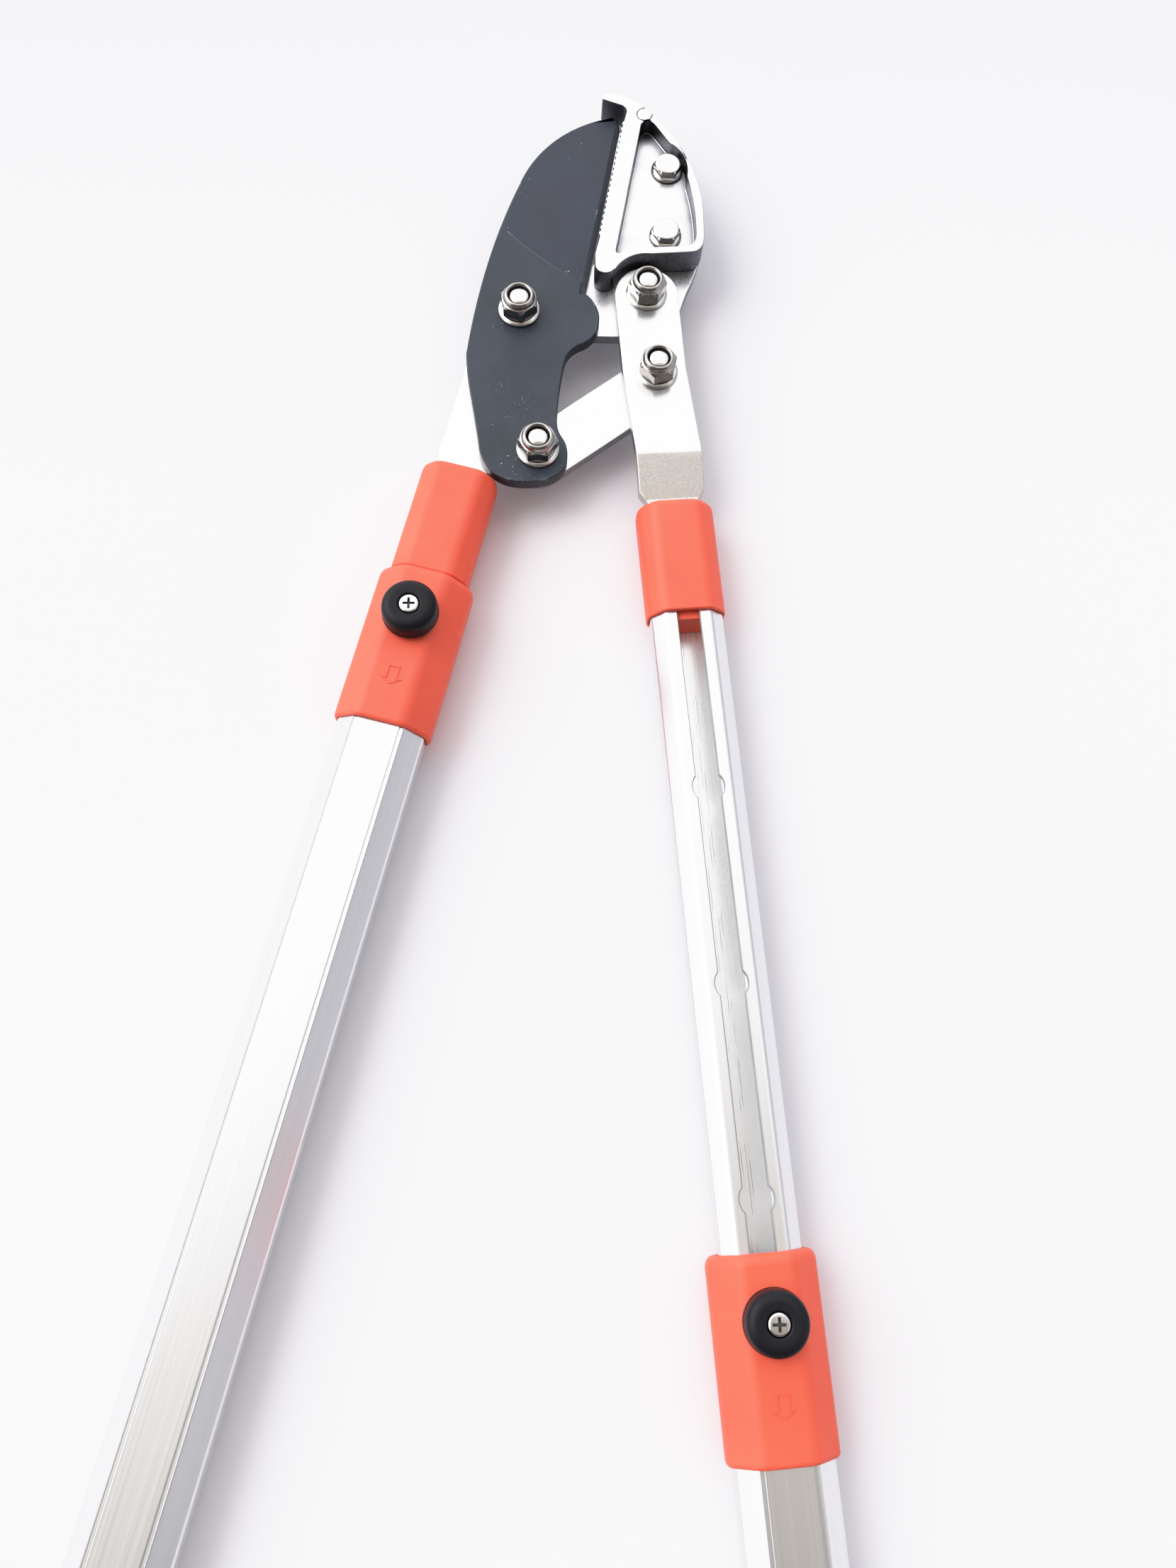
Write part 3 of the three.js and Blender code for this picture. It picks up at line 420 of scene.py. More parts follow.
def bright_fasteners(name, low, high):
    look = Look(name, Metallic=1.0)
    cloud = look.noise(350, 4, rough=0.6)
    bright = look.mix(look.levels(cloud, 0.3, 0.7), rgb(*low), rgb(*high))
    # Side walls such as the hex flats are painted darker: painted shade.
    look.colour(look.mix(look.math("MULTIPLY", look.steepness(), 0.5), bright, rgb(0.16, 0.15, 0.14)))
    look.roughness(look.levels(cloud, 0.3, 0.7, 0.12, 0.24))
    look.bump(look.noise(900, 2), 0.10, 0.03 * MM)
    return look.material


def tube_metal(name, turn, low, high, rough):
    look = Look(name, Metallic=1.0)
    lines = look.noise(1.0, 3, look.stretched((2600, 8, 2600), turn), 0.5)
    streak = look.noise(1.0, 2, look.stretched((420, 4, 420), turn), 0.5)
    skin = look.mix(look.levels(streak, 0.3, 0.7), rgb(*low), rgb(*high))
    # Convex edges are painted darker: painted shade lines along the facets.
    look.colour(look.mix(look.math("MULTIPLY", look.edge_wear_and_shade(1.1), 0.75), skin, rgb(0.33, 0.34, 0.35)))
    look.roughness(look.levels(lines, 0.3, 0.7, rough, rough + 0.07))
    look.bump(lines, 0.05, 0.01 * MM)
    return look


# (millimetres off the tube's middle line, place in the noise) of each dark line in the bore.
DRAW_LINES = ((-1.1, 0.0), (0.5, 7.0), (1.5, 13.0))
# The bore is painted much lighter than the outer tube: painted light inside the tube.
LIT_BORE_LOW = (0.96, 0.965, 0.97)
LIT_BORE_HIGH = (0.99, 0.99, 0.99)


def tube_bore(name, turn, middle_line):
    """The tube's inside, painted far lighter than the outer metal as painted light against its shade, with broken
    dark draw lines along its back wall.
    """
    look = tube_metal(name, turn, LIT_BORE_LOW, LIT_BORE_HIGH, 0.26)
    look.shader.inputs["Metallic"].default_value = 0.55
    spun = look.node("Mapping", {"Vector": look.places, "Rotation": (0, 0, turn)}).outputs[0]
    across = look.node("SeparateXYZ", {0: spun}).outputs["X"]
    marks = None
    for offset, seed in DRAW_LINES:
        away = look.math("ABSOLUTE", look.math("SUBTRACT", across, middle_line + offset * MM))
        line = look.levels(away, 0.12 * MM, 0.05 * MM)
        placed = {"Vector": spun, "Location": (0, seed, 0), "Scale": (3, 55, 3)}
        broken = look.noise(1.0, 3, look.node("Mapping", placed).outputs[0])
        line = look.math("MULTIPLY", line, look.levels(broken, 0.5, 0.6))
        marks = look.math("MAXIMUM", marks, line) if marks else line
    plain = look.shader.inputs["Base Color"].links[0].from_socket
    look.colour(look.mix(look.math("MULTIPLY", marks, 0.8), plain, rgb(0.12, 0.14, 0.17)))
    return look.material


def moulded_plastic(name, dark, light, rough, grain_scale, grain, gloss=0.4):
    look = Look(name, Specular_IOR_Level=gloss)
    cloud = look.noise(45, 3)
    skin = look.noise(grain_scale, 3, rough=0.6)
    look.colour(look.mix(look.levels(cloud, 0.3, 0.7), rgb(*dark), rgb(*light)))
    look.roughness(look.levels(skin, 0.3, 0.7, rough - 0.05, rough + 0.07))
    look.bump(skin, grain, 0.04 * MM)
    return look.material


def grip_rubber():
    look = Look("grip_rubber")
    cells = look.node("TexVoronoi", {"Vector": look.places, "Scale": 900.0}).outputs["Distance"]
    dust = look.noise(70, 4)
    look.colour(look.mix(look.levels(dust, 0.4, 0.75), rgb(0.013, 0.013, 0.014), rgb(0.028, 0.028, 0.03)))
    look.roughness(look.levels(dust, 0.3, 0.7, 0.62, 0.78))
    look.bump(cells, 0.35, 0.1 * MM)
    return look.material


def spring_steel():
    look = Look("spring_steel", Metallic=1.0)
    cloud = look.noise(500, 3)
    look.colour(look.mix(cloud, rgb(0.42, 0.42, 0.44), rgb(0.62, 0.62, 0.64)))
    look.roughness(look.levels(cloud, 0.3, 0.7, 0.2, 0.35))
    return look.material


JOGGLE_FROM_LINK = 34.5
TUBE_LOW = (0.735, 0.74, 0.755)
TUBE_HIGH = (0.79, 0.795, 0.805)
TUBE_ROUGH = 0.27


def lean(side):
    """How far the handle turns away from -Y, in radians."""
    x, y, _ = JOINTS[f"{side}_extend"]["axis"]
    return math.atan2(x, -y)


def tube_look(side):
    return tube_metal(f"tube_metal_{side}", -lean(side), TUBE_LOW, TUBE_HIGH, TUBE_ROUGH).material


def bore_look(side):
    middle_line = (Matrix.Rotation(-lean(side), 3, "Z") @ middle(f"{side}_inner_tube")).x
    return tube_bore(f"tube_bore_{side}", -lean(side), middle_line)


STEEL = plated_steel("plated_steel")
LEVER_STEEL = plated_steel("lever_steel", pivot("link_pivot").y - JOGGLE_FROM_LINK * MM)
CASTING = die_casting()
COAT = coated_blade("coated_blade", (0.014, 0.020, 0.029), (0.026, 0.035, 0.053))
GROUND_COAT = coated_blade("ground_coat", (0.013, 0.018, 0.033), (0.020, 0.027, 0.048))
# A lighter coat for the ramp along the grind's shoulder: a painted highlight on that edge, with some real rubbed
# wear.
WORN_AND_HIGHLIT_COAT = coated_blade("worn_and_highlit_coat", (0.05, 0.056, 0.066), (0.16, 0.17, 0.19))
EDGE = honed_edge()
BRIGHT = bright_fasteners("bright_fasteners", (0.60, 0.59, 0.57), (0.74, 0.73, 0.71))
# The nuts get a darker copy of the fastener metal: painted shade and reflection.
SHADED_NUT_METAL = bright_fasteners("nut_metal_with_painted_shade", (0.34, 0.325, 0.305), (0.46, 0.445, 0.42))
TUBE = {side: tube_look(side) for side in SIDES}
BORE = {side: bore_look(side) for side in SIDES}
# The slot's cut walls: a dark grey that is partly the sawn edge, partly painted shade.
SHADED_CUT_WALL = moulded_plastic("sawn_metal_and_shade", (0.20, 0.205, 0.215), (0.34, 0.345, 0.355), 0.4, 1800, 0.1)
ORANGE = moulded_plastic("orange_plastic", (0.80, 0.094, 0.048), (0.87, 0.110, 0.058), 0.50, 1800, 0.10)
BLACK = moulded_plastic("black_plastic", (0.004, 0.004, 0.005), (0.009, 0.009, 0.012), 0.4, 1200, 0.15, 0.16)
NYLON = moulded_plastic("nylon", (0.035, 0.034, 0.033), (0.06, 0.058, 0.056), 0.5, 1500, 0.1)
RUBBER = grip_rubber()
WIRE = spring_steel()
# The screw's cross recess: a dark oxide colour that is also painted shade.
SHADE = moulded_plastic("recess_oxide_and_shade", (0.05, 0.045, 0.04), (0.10, 0.095, 0.085), 0.5, 1500, 0.1)

# ---------------------------------------------------------------- head

EDGE_SLOT, GROUND_SLOT, WORN_AND_HIGHLIT_SLOT = 1, 2, 3
INSIDE_SLOT, SHADED_CUT_SLOT = 1, 2
BEVEL_AREA = 20 * MM * MM
NEAR = 0.05 * MM


def paint(piece, index, test):
    """Gives the faces that pass the test another of the piece's materials."""
    for face in piece.data.polygons:
        if test(face):
            face.material_index = index


def is_bevel(face):
    """The two ground faces along the cutting edge lean over to +X, well off the vertical."""
    return face.normal.x > 0.5 and 0.4 < abs(face.normal.z) < 0.9 and face.area > BEVEL_AREA


GRIND_DEPTH = 0.3
GRIND_RAMP = 1.8
SHOULDER_RAMP = 0.35
ANVIL_FOOT = (30.7, 30.3)
ANVIL_SLOPE = 0.191
TEETH_BAND = 1.3
TEETH_FROM, TEETH_TO = 29, 88


def is_step(face):
    """The low wall around the blade's ground face."""
    heights = [vertex.co.z for vertex in face.verts]
    return abs(face.normal.z) < 0.1 and max(heights) - min(heights) < 2 * GRIND_DEPTH * MM


def ramp_step(grid):
    """Leans the low wall around the ground face back into a soft ramp."""
    shift = {}
    for face in grid.faces:
        if is_step(face):
            reach = SHOULDER_RAMP if face.normal.y > 0.3 else GRIND_RAMP
            for vertex in face.verts:
                plain = all(is_step(f) or f.normal.z > 0.99 for f in vertex.link_faces)
                if plain and vertex.co.z > BLADE_TOP - 0.1 * MM:
                    shift.setdefault(vertex, []).append(face.normal * -reach * MM)
    for vertex, moves in shift.items():
        vertex.co += sum(moves, Vector()) / len(moves)


def blade_edge(edge):
    return corner_edge(edge) and not any(map(is_step, edge.link_faces))


def casting_edge(edge):
    """Every corner but those along the anvil's serrated face, which stays crisp."""
    origin = pivot("blade_pivot")
    on_teeth = True
    for vertex in edge.verts:
        x, y, _ = (vertex.co - origin) / MM
        beside = abs(x - ANVIL_FOOT[0] - ANVIL_SLOPE * (y - ANVIL_FOOT[1])) < TEETH_BAND
        on_teeth = on_teeth and beside and TEETH_FROM < y < TEETH_TO
    return corner_edge(edge) and not on_teeth


def lever_edge(edge):
    """The corners, and the two bends of the joggle."""
    level = all(abs(face.normal.z) > 0.9 for face in edge.link_faces)
    return corner_edge(edge) or (level and edge.calc_face_angle() > BEND_ANGLE)


def flat_parts():
    blade = refined("blade", 0.55, 3, blade_edge, ramp_step)
    place_piece(blade, "blade", COAT, EDGE, GROUND_COAT, WORN_AND_HIGHLIT_COAT)
    floor_height = BLADE_TOP - GRIND_DEPTH * MM
    paint(blade, EDGE_SLOT, is_bevel)
    paint(blade, GROUND_SLOT, lambda face: face.normal.z > 0.99 and abs(face.center.z - floor_height) < NEAR)
    # Ramp faces up from the ground face: those facing +Y get the lighter coat, a painted highlight with some wear;
    # the rest get the ground coat.
    for face in blade.data.polygons:
        heights = [blade.data.vertices[i].co.z for i in face.vertices]
        spans_step = max(heights) - min(heights) > 0.9 * GRIND_DEPTH * MM
        if spans_step and min(heights) > floor_height - NEAR and face.normal.z > 0.3:
            face.material_index = WORN_AND_HIGHLIT_SLOT if face.normal.y > 0.1 else GROUND_SLOT
    place_piece(refined("body_plate", 0.45), "body_plate", STEEL)
    place_piece(refined("link", 0.45), "link", STEEL)
    place_piece(refined("lever", 0.5, 3, lever_edge), "lever", LEVER_STEEL)
    place_piece(refined("anvil_casting", 0.45, 3, casting_edge), "anvil_casting", CASTING)


NUT_FLATS = 13
NUT_TURNS = {"blade_pivot": 38, "blade_link": 0, "lever_pivot": 0, "lever_link": 17}
PIVOT_BORE = 4.3
SHANK_RADIUS = 3.9
SHANK_TIP = 3.35
BOLT_HEAD = 5.3
BOLT_TURN = 11
NUT_LIP = 0.75


def nut_profile(height):
    skin = [
        (PIVOT_BORE, 0), (6.7, 0), (7.6, 0.5), (7.6, height - 3.2), (6.55, height - 2.15),
        (6.0, height - 1.9), (5.85, height - 1.0), (5.35, height - 0.25), (4.85, height),
        (4.5, height - 0.15), (PIVOT_BORE, height - 0.5), (PIVOT_BORE, height - 1.4),
    ]
    return rounded(skin, 0.22, 3)


def washer_profile(height):
    skin = [
        (PIVOT_BORE, 0), (7.7, 0), (8.0, 0.3), (8.0, 0.75), (7.7, 1.05), (6.9, height),
        (PIVOT_BORE, height),
    ]
    return rounded(skin, 0.15, 2)


def bolt_profile(head, end):
    skin = [
        (0.05, -head), (5.4, -head), (5.9, -head + 0.15), (7.6, -head + 1.1), (7.6, -0.45), (6.7, 0),
        (SHANK_RADIUS, 0), (SHANK_RADIUS, end - 1.0), (SHANK_TIP, end - 0.4), (2.2, end - 0.08), (0.05, end),
    ]
    return rounded(skin, 0.2, 2)


def pivot_fasteners(name):
    turn = NUT_TURNS[name]
    for kind in ("bolt", "washer", "nut"):
        node = f"{name}_{kind}"
        low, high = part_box(node)
        centre = (low + high) / 2
        height = (high.z - low.z) / MM
        if kind == "bolt":
            seat = low.z + BOLT_HEAD * MM
            place = Vector((centre.x, centre.y, seat))
            profile = bolt_profile(BOLT_HEAD, (high.z - seat) / MM)
            grid = turned(profile, place, False, NUT_FLATS, turn + BOLT_TURN)
        else:
            place = Vector((centre.x, centre.y, low.z))
            if kind == "washer":
                grid = turned(washer_profile(height), place)
            else:
                grid = turned(nut_profile(height), place, True, NUT_FLATS, turn)
        piece = new_object(f"{node}_fine", grid)
        place_piece(piece, node, SHADED_NUT_METAL if kind == "nut" else BRIGHT, NYLON)
        if kind == "nut":
            lip = high.z - NUT_LIP * MM
            inner = (PIVOT_BORE + 0.3) * MM
            paint(piece, INSIDE_SLOT, lambda f: f.center.z < lip and (f.center - centre).xy.length < inner)


ANVIL_FLATS = 9.8
ANVIL_HEAD = 4.4


def anvil_bolt(node):
    low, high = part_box(node)
    place = Vector((middle(node).x, middle(node).y, low.z))
    top = (high.z - low.z) / MM
    seat = top - ANVIL_HEAD
    skin = [
        (0.05, 0), (2.5, 0), (2.9, 0.4), (2.9, seat), (5.9, seat), (6.35, seat + 0.3), (6.3, seat + 0.7),
        (5.5, seat + 1.25), (5.2, seat + 1.6), (5.75, seat + 1.7), (5.75, top - 1.0), (4.75, top - 0.15),
        (4.1, top), (0.05, top - 0.15),
    ]
    grid = turned(rounded(skin, 0.25, 2), place, False, None)
    for vertex in grid.verts:
        height = (vertex.co.z - place.z) / MM
        if height > seat + 1.3:
            reach = (vertex.co - place).xy
            limit = hexagon_reach(ANVIL_FLATS, math.degrees(math.atan2(reach.y, reach.x))) * MM
            if reach.length > limit:
                reach = reach.normalized() * limit
                vertex.co.xy = place.xy + reach
    place_piece(new_object(f"{node}_fine", grid), node, BRIGHT)


def anvil_rivet():
    low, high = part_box("anvil_rivet")
    place = Vector((middle("anvil_rivet").x, middle("anvil_rivet").y, low.z))
    top = (high.z - low.z) / MM
    skin = [(0.05, 0), (2.4, 0), (2.9, 0.3), (2.9, top - 0.15), (2.7, top), (0.05, top)]
    grid = turned(rounded(skin, 0.2, 2), place, False, None, 0, 48)
    place_piece(new_object("anvil_rivet_fine", grid), "anvil_rivet", BRIGHT)


def head():
    flat_parts()
    for name in NUT_TURNS:
        pivot_fasteners(name)
    anvil_bolt("anvil_bolt_upper")
    anvil_bolt("anvil_bolt_lower")
    anvil_rivet()


# ---------------------------------------------------------------- handles

INNER = {"width": 26.4, "depth": 16, "flat": 16.4, "side": 6}
OUTER = {"width": 31, "depth": 20.5, "flat": 17.3, "side": 6.8}
HOUSING = {"width": 34.7, "depth": 25, "flat": 17, "side": 7.3}
COLLAR = {"width": 28.5, "depth": 20, "flat": 17, "side": 8.5}
GRIP = {"width": 36, "depth": 25, "flat": 18, "side": 7}
TANG_SLOT = {"width": 19.6, "depth": 5.6, "flat": 19, "side": 5}
GAP = 0.3
SOFT_CORNER = 2.6
TUBE_CORNER = 1.2
BORE_CORNER = 0.5
GRIP_CORNER = 3.4
CAP_CORNER = 0.8
COLLAR_ROOF = 3.3
HOUSING_ROOF = 1.7
BUTTON_AT = 19.3
BUTTON_HOLE = 8.3


def handle_frame(node, side):
    """A matrix whose -Y runs down the handle from the node's top end, with Z up from its axis."""
    x, y, z = JOINTS[f"{side}_extend"]["axis"]
    down = Vector((x, y, z)).normalized()
    across = Vector((-down.y, down.x, 0))
    points = [v.co for v in frame["nodes"][node].data.vertices]
    start = min(p.dot(down) for p in points)
    sideways = [p.dot(across) for p in points]
    origin = down * start + across * (min(sideways) + max(sideways)) / 2
    origin.z = HANDLE_AXIS
    turn = Matrix((across, -down, Vector((0, 0, 1)))).transposed().to_4x4()
    return Matrix.Translation(origin) @ turn


def length_of(node, side):
    down = Vector(JOINTS[f"{side}_extend"]["axis"])
    reach = [v.co.dot(down) for v in frame["nodes"][node].data.vertices]
    return (max(reach) - min(reach)) / MM


def swollen(base, grow, **changes):
    """A section offset outwards by grow on every side."""
    step = 2 * grow * math.tan(math.pi / 8)
    shape = {
        "width": base["width"] + 2 * grow, "depth": base["depth"] + 2 * grow,
        "flat": base["flat"] + step, "side": base["side"] + step,
    }
    return {**shape, **changes}


def sleeve(node, side, stations, closed=True):
    """A hollow or solid piece along the handle, through (distance, section, corner) stations."""
    matrix = handle_frame(node, side)
    rings = [along(matrix, at, section(**shape, cut=cut)) for at, shape, cut in stations]
    return new_object(f"{node}_fine", from_rings(rings, closed))


def round_end(start, base, depth, reach, steps=5):
    """Stations that curve from a smaller opening out to the full section over a distance reach."""
    rows = []
    for step in range(steps + 1):
        t = math.pi / 2 * step / steps
        shape = swollen(base, -depth * (1 - math.sin(t)))
        rows.append((start + reach * (1 - math.cos(t)), shape, SOFT_CORNER))
    return rows


def mirrored(stations, end):
    return [(end - at, shape, cut) for at, shape, cut in reversed(stations)]


def collar(side):
    node = f"{side}_collar"
    end = length_of(node, side)
    hollow = swollen(INNER, GAP)
    stations = round_end(0, COLLAR, 2.4, 3.2) + mirrored(round_end(0, COLLAR, 0.5, 0.6, 3), end)
    stations += [(end, hollow, TUBE_CORNER), (COLLAR_ROOF, hollow, TUBE_CORNER)]
    stations += [(COLLAR_ROOF, TANG_SLOT, 0.2), (0, TANG_SLOT, 0.2)]
    place_piece(sleeve(node, side, stations), node, ORANGE)


def arrow_outline(margin):
    stem, wing = 2.1 - margin, 4 - 2.2 * margin
    top, shoulder, tip = -39.1 - margin, -43.6 - margin, -46.3 + 1.5 * margin
    right = [(stem, top), (stem, shoulder), (wing, shoulder)]
    return [*right, (0, tip), *[(-x, y) for x, y in reversed(right)]]


def raised_arrow(matrix):
    """The outline arrow on the housing's face, as a closed strip that sinks into the face."""
    face = HOUSING["depth"] / 2
    rings = [
        [matrix @ (Vector((x, y, height)) * MM) for x, y in arrow_outline(margin)]
        for margin, height in ((0, face - 0.4), (0.1, face + 0.3), (0.5, face + 0.3), (0.6, face - 0.4))
    ]
    return new_object("arrow", from_rings(rings, True))


def button_hole(matrix):
    centre = matrix @ Vector((0, -BUTTON_AT * MM, 0))
    return new_object("hole", turned([(BUTTON_HOLE, 6), (BUTTON_HOLE, 20)], centre, False, None, 0, 64))


def button_housing(side):
    node = f"{side}_button_housing"
    end = length_of(node, side)
    passage, sleeve_bore = swollen(INNER, GAP), swollen(OUTER, GAP)
    stations = round_end(0, HOUSING, 2.5, 3.6) + mirrored(round_end(0, HOUSING, 1.0, 1.6, 4), end)
    stations += [(end, sleeve_bore, TUBE_CORNER), (HOUSING_ROOF, sleeve_bore, TUBE_CORNER)]
    stations += [(HOUSING_ROOF, passage, TUBE_CORNER), (0, passage, TUBE_CORNER)]
    housing = sleeve(node, side, stations)
    matrix = handle_frame(node, side)
    boolean(housing, button_hole(matrix), "DIFFERENCE")
    boolean(housing, raised_arrow(matrix), "UNION")
    place_piece(housing, node, ORANGE)


CAP_ROUND = 3
CAP_STEPS = 5
GRIP_RIBS = 17
RIB_DEPTH = 0.7
RIB_FROM, RIB_TO = 0.14, 0.86


def grip_swell(share):
    """How much wider the grip is than its base section, in millimetres a side."""
    return 0.8 * share - 0.9 * math.sin(math.pi * min(share / 0.75, 1)) ** 2


def grip(side):
    node = f"{side}_grip"
    length = length_of(node, side)
    stations = []
    steps = 8 * GRIP_RIBS
    for step in range(steps + 1):
        share = step / steps
        grow = grip_swell(share)
        if RIB_FROM < share < RIB_TO:
            wave = math.sin(math.pi * GRIP_RIBS * (share - RIB_FROM) / (RIB_TO - RIB_FROM))
            grow -= RIB_DEPTH * wave ** 6
        at = 1.2 + share * (length - 2.4)
        wide = {"width": GRIP["width"] + 2 * grow, "depth": GRIP["depth"] + min(2 * grow, 0)}
        stations.append((at, {**GRIP, **wide}, GRIP_CORNER))
    first, last = stations[0], stations[-1]
    stations.insert(0, (0, swollen(first[1], -1.1), GRIP_CORNER))
    stations.append((length, swollen(last[1], -1.0), GRIP_CORNER))
    bore = swollen(OUTER, GAP)
    stations += [(length, bore, TUBE_CORNER), (0, bore, TUBE_CORNER)]
    place_piece(sleeve(node, side, stations), node, RUBBER)


def end_cap(side):
    node = f"{side}_end_cap"
    length = length_of(node, side)
    plug = swollen(OUTER, -1.5 - GAP)
    face = {**GRIP, "width": GRIP["width"] + 1.6}
    start = length - 2 * CAP_ROUND
    stations = [(0, swollen(plug, -0.6), CAP_CORNER), (0.8, plug, CAP_CORNER), (start, plug, CAP_CORNER)]
    stations += [(start, swollen(face, -0.5), GRIP_CORNER), (start + 0.5, face, GRIP_CORNER)]
    stations.append((start + CAP_ROUND, face, GRIP_CORNER))
    for step in range(1, CAP_STEPS + 1):
        t = math.pi / 2 * step / CAP_STEPS
        shape = swollen(face, -CAP_ROUND * (1 - math.cos(t)))
        stations.append((start + CAP_ROUND + CAP_ROUND * math.sin(t), shape, GRIP_CORNER))
    place_piece(sleeve(node, side, stations, False), node, ORANGE)


KNOB_STEPS = 96
KNOB_ROOF = 3


def knob(side):
    node = f"{side}_button_knob"
    low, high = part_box(node)
    top = (high.z - low.z) / MM
    roof = top - KNOB_ROOF
    place = Vector((middle(node).x, middle(node).y, low.z))
    skin = [
        (2.0, roof), (7.9, roof), (7.9, 0), (9.7, 0), (9.95, 0.3), (9.95, 0.8), (9.75, 1.1),
        (9.75, top - 3.2), (9.3, top - 1.3), (8.0, top - 0.35), (6.6, top), (3.7, top - 0.15),
        (3.7, top - 1.8), (2.0, top - 1.8),
    ]
    grid = turned(rounded(skin, 0.7, 4), place, True, None, 0, KNOB_STEPS)
    place_piece(new_object(f"{node}_fine", grid), node, BLACK)


def cross_outline(long, short):
    """A cross of half-length long and half-width short."""
    points = []
    for quarter in range(4):
        angle = math.radians(90 * quarter)
        cos, sin = math.cos(angle), math.sin(angle)
        for x, y in ((long, -short), (long, short), (short, short)):
            points.append((x * cos - y * sin, x * sin + y * cos))
    return points


def cross_recess(place, depth):
    """A tapered cross for the screw's drive."""
    rings = [
        [place + Vector((x, y, height)) * MM for x, y in cross_outline(long, short)]
        for long, short, height in ((1.5, 0.36, -depth), (2.15, 0.46, 0), (2.2, 0.47, 1))
    ]
    return new_object("cross", from_rings(rings, False))


CROSS_REACH = 2.3
CROSS_DEPTH = 1.5


def knob_screw(side):
    node = f"{side}_button_screw"
    low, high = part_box(node)
    top = (high.z - low.z) / MM
    place = Vector((middle(node).x, middle(node).y, low.z))
    skin = [
        (0.05, 0), (1.5, 0), (1.7, 0.3), (1.7, top - 1.7), (3.4, top - 1.7), (3.4, top - 0.5),
        (2.9, top - 0.15), (0.05, top),
    ]
    piece = new_object(f"{node}_fine", turned(rounded(skin, 0.2, 3), place, False, None, 0, 64))
    boolean(piece, cross_recess(Vector((place.x, place.y, high.z)), CROSS_DEPTH), "DIFFERENCE")
    place_piece(piece, node, BRIGHT, SHADE)
    reach = CROSS_REACH * MM
    deep = high.z - 0.2 * MM
    shank = place.z + 2 * MM
    paint(piece, INSIDE_SLOT, lambda f: shank < f.center.z < deep and (f.center - place).xy.length < reach)


SPRING_WIRE = 0.45
SPRING_TURNS = 3
SPRING_STEPS = 32
WIRE_SIDES = 10


def button_spring(side):
    """A coil between the outer tube's face and the knob's roof; the real one is squashed as the button is pressed.
    """
    node = f"{side}_button_spring"
    low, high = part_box(node)
    centre = (low + high) / 2
    height = high.z - low.z
    radius = (high.x - low.x) / 2 - 0.6 * MM
    wire = SPRING_WIRE * MM
    steps = SPRING_STEPS * SPRING_TURNS
    rings = []
    for step in range(steps + 1):
        share = step / steps
        angle = 2 * math.pi * SPRING_TURNS * share
        out = Vector((math.cos(angle), math.sin(angle), 0))
        at = Vector((centre.x, centre.y, low.z + wire + share * (height - 2 * wire))) + out * radius
        ring = [2 * math.pi * k / WIRE_SIDES for k in range(WIRE_SIDES)]
        rings.append([at + out * wire * math.cos(a) + Vector((0, 0, wire * math.sin(a))) for a in ring])
    coil = new_object(f"{node}_fine", from_rings(rings, False))
    place_piece(coil, node, WIRE)
    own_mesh(coil)


SLOT_FROM = 41
SLOT_HALF = 4
# Distances down the handle from the collar's top, where the round keyholes stand.
KEYHOLES = (110.1, 177.6, 245.1, 312.6)
KEYHOLE_RADIUS = 5.5
SLOT_CHAMFER = 0.3
INNER_FROM = 3.3
OUTER_FROM = 2
PIN_HOLE = 5.6
TUBE_WALL = 1.5
GROOVE_WIDTH, GROOVE_DEPTH = 1.2, 0.5


def arc(centre_y, radius, start, end, steps):
    turns = [start + (end - start) * step / steps for step in range(steps + 1)]
    return [(radius * math.cos(t), centre_y + radius * math.sin(t)) for t in turns]


def slot_outline(shift, grow):
    """The long slot with its round keyholes, the last of which closes it."""
    half, radius = SLOT_HALF + grow, KEYHOLE_RADIUS + grow
    opening = math.acos(half / radius)
    right = [(half, shift - SLOT_FROM)]
    for at in KEYHOLES[:-1]:
        right += arc(shift - at, radius, opening, -opening, 12)
    right += arc(shift - KEYHOLES[-1], radius, opening, -math.pi / 2, 20)
    return right + [(-x, y) for x, y in reversed(right[:-1])]


def shell(node, side, outer, bore):
    """A tube from its outer and inner outlines."""
    matrix = handle_frame(node, side)
    end = length_of(node, side)
    tube = from_rings([along(matrix, 0, outer), along(matrix, end, outer)], False)
    core = from_rings([along(matrix, -5, bore), along(matrix, end + 5, bore)], False)
    piece = new_object(f"{node}_fine", tube)
    boolean(piece, new_object("core", core), "DIFFERENCE")
    return piece


def inner_tube(side):
    node = f"{side}_inner_tube"
    bore = section(**swollen(INNER, -TUBE_WALL), cut=BORE_CORNER)
    tube = shell(node, side, section(**INNER, cut=TUBE_CORNER), bore)
    matrix = handle_frame(node, side)
    face = INNER["depth"] / 2
    levels = ((face - TUBE_WALL - 1, 0), (face - SLOT_CHAMFER, 0), (face + 1, 1 + SLOT_CHAMFER))
    rings = [
        [matrix @ (Vector((x, y, height)) * MM) for x, y in slot_outline(INNER_FROM, grow)]
        for height, grow in levels
    ]
    boolean(tube, new_object("slot", from_rings(rings, False)), "DIFFERENCE")
    place_piece(tube, node, TUBE[side], BORE[side], SHADED_CUT_WALL)
    back = matrix.inverted()
    turn = back.to_3x3()
    for polygon in tube.data.polygons:
        centre, normal = back @ polygon.center / MM, turn @ polygon.normal
        # Walls of the slot get the dark cut material, partly painted shade; faces looking inward get the lighter
        # bore.
        if abs(centre.x) < KEYHOLE_RADIUS + 1 and centre.z > face - TUBE_WALL and abs(normal.z) < 0.9:
            polygon.material_index = SHADED_CUT_SLOT
        elif centre.x * normal.x + centre.z * normal.z < 0:
            polygon.material_index = INSIDE_SLOT


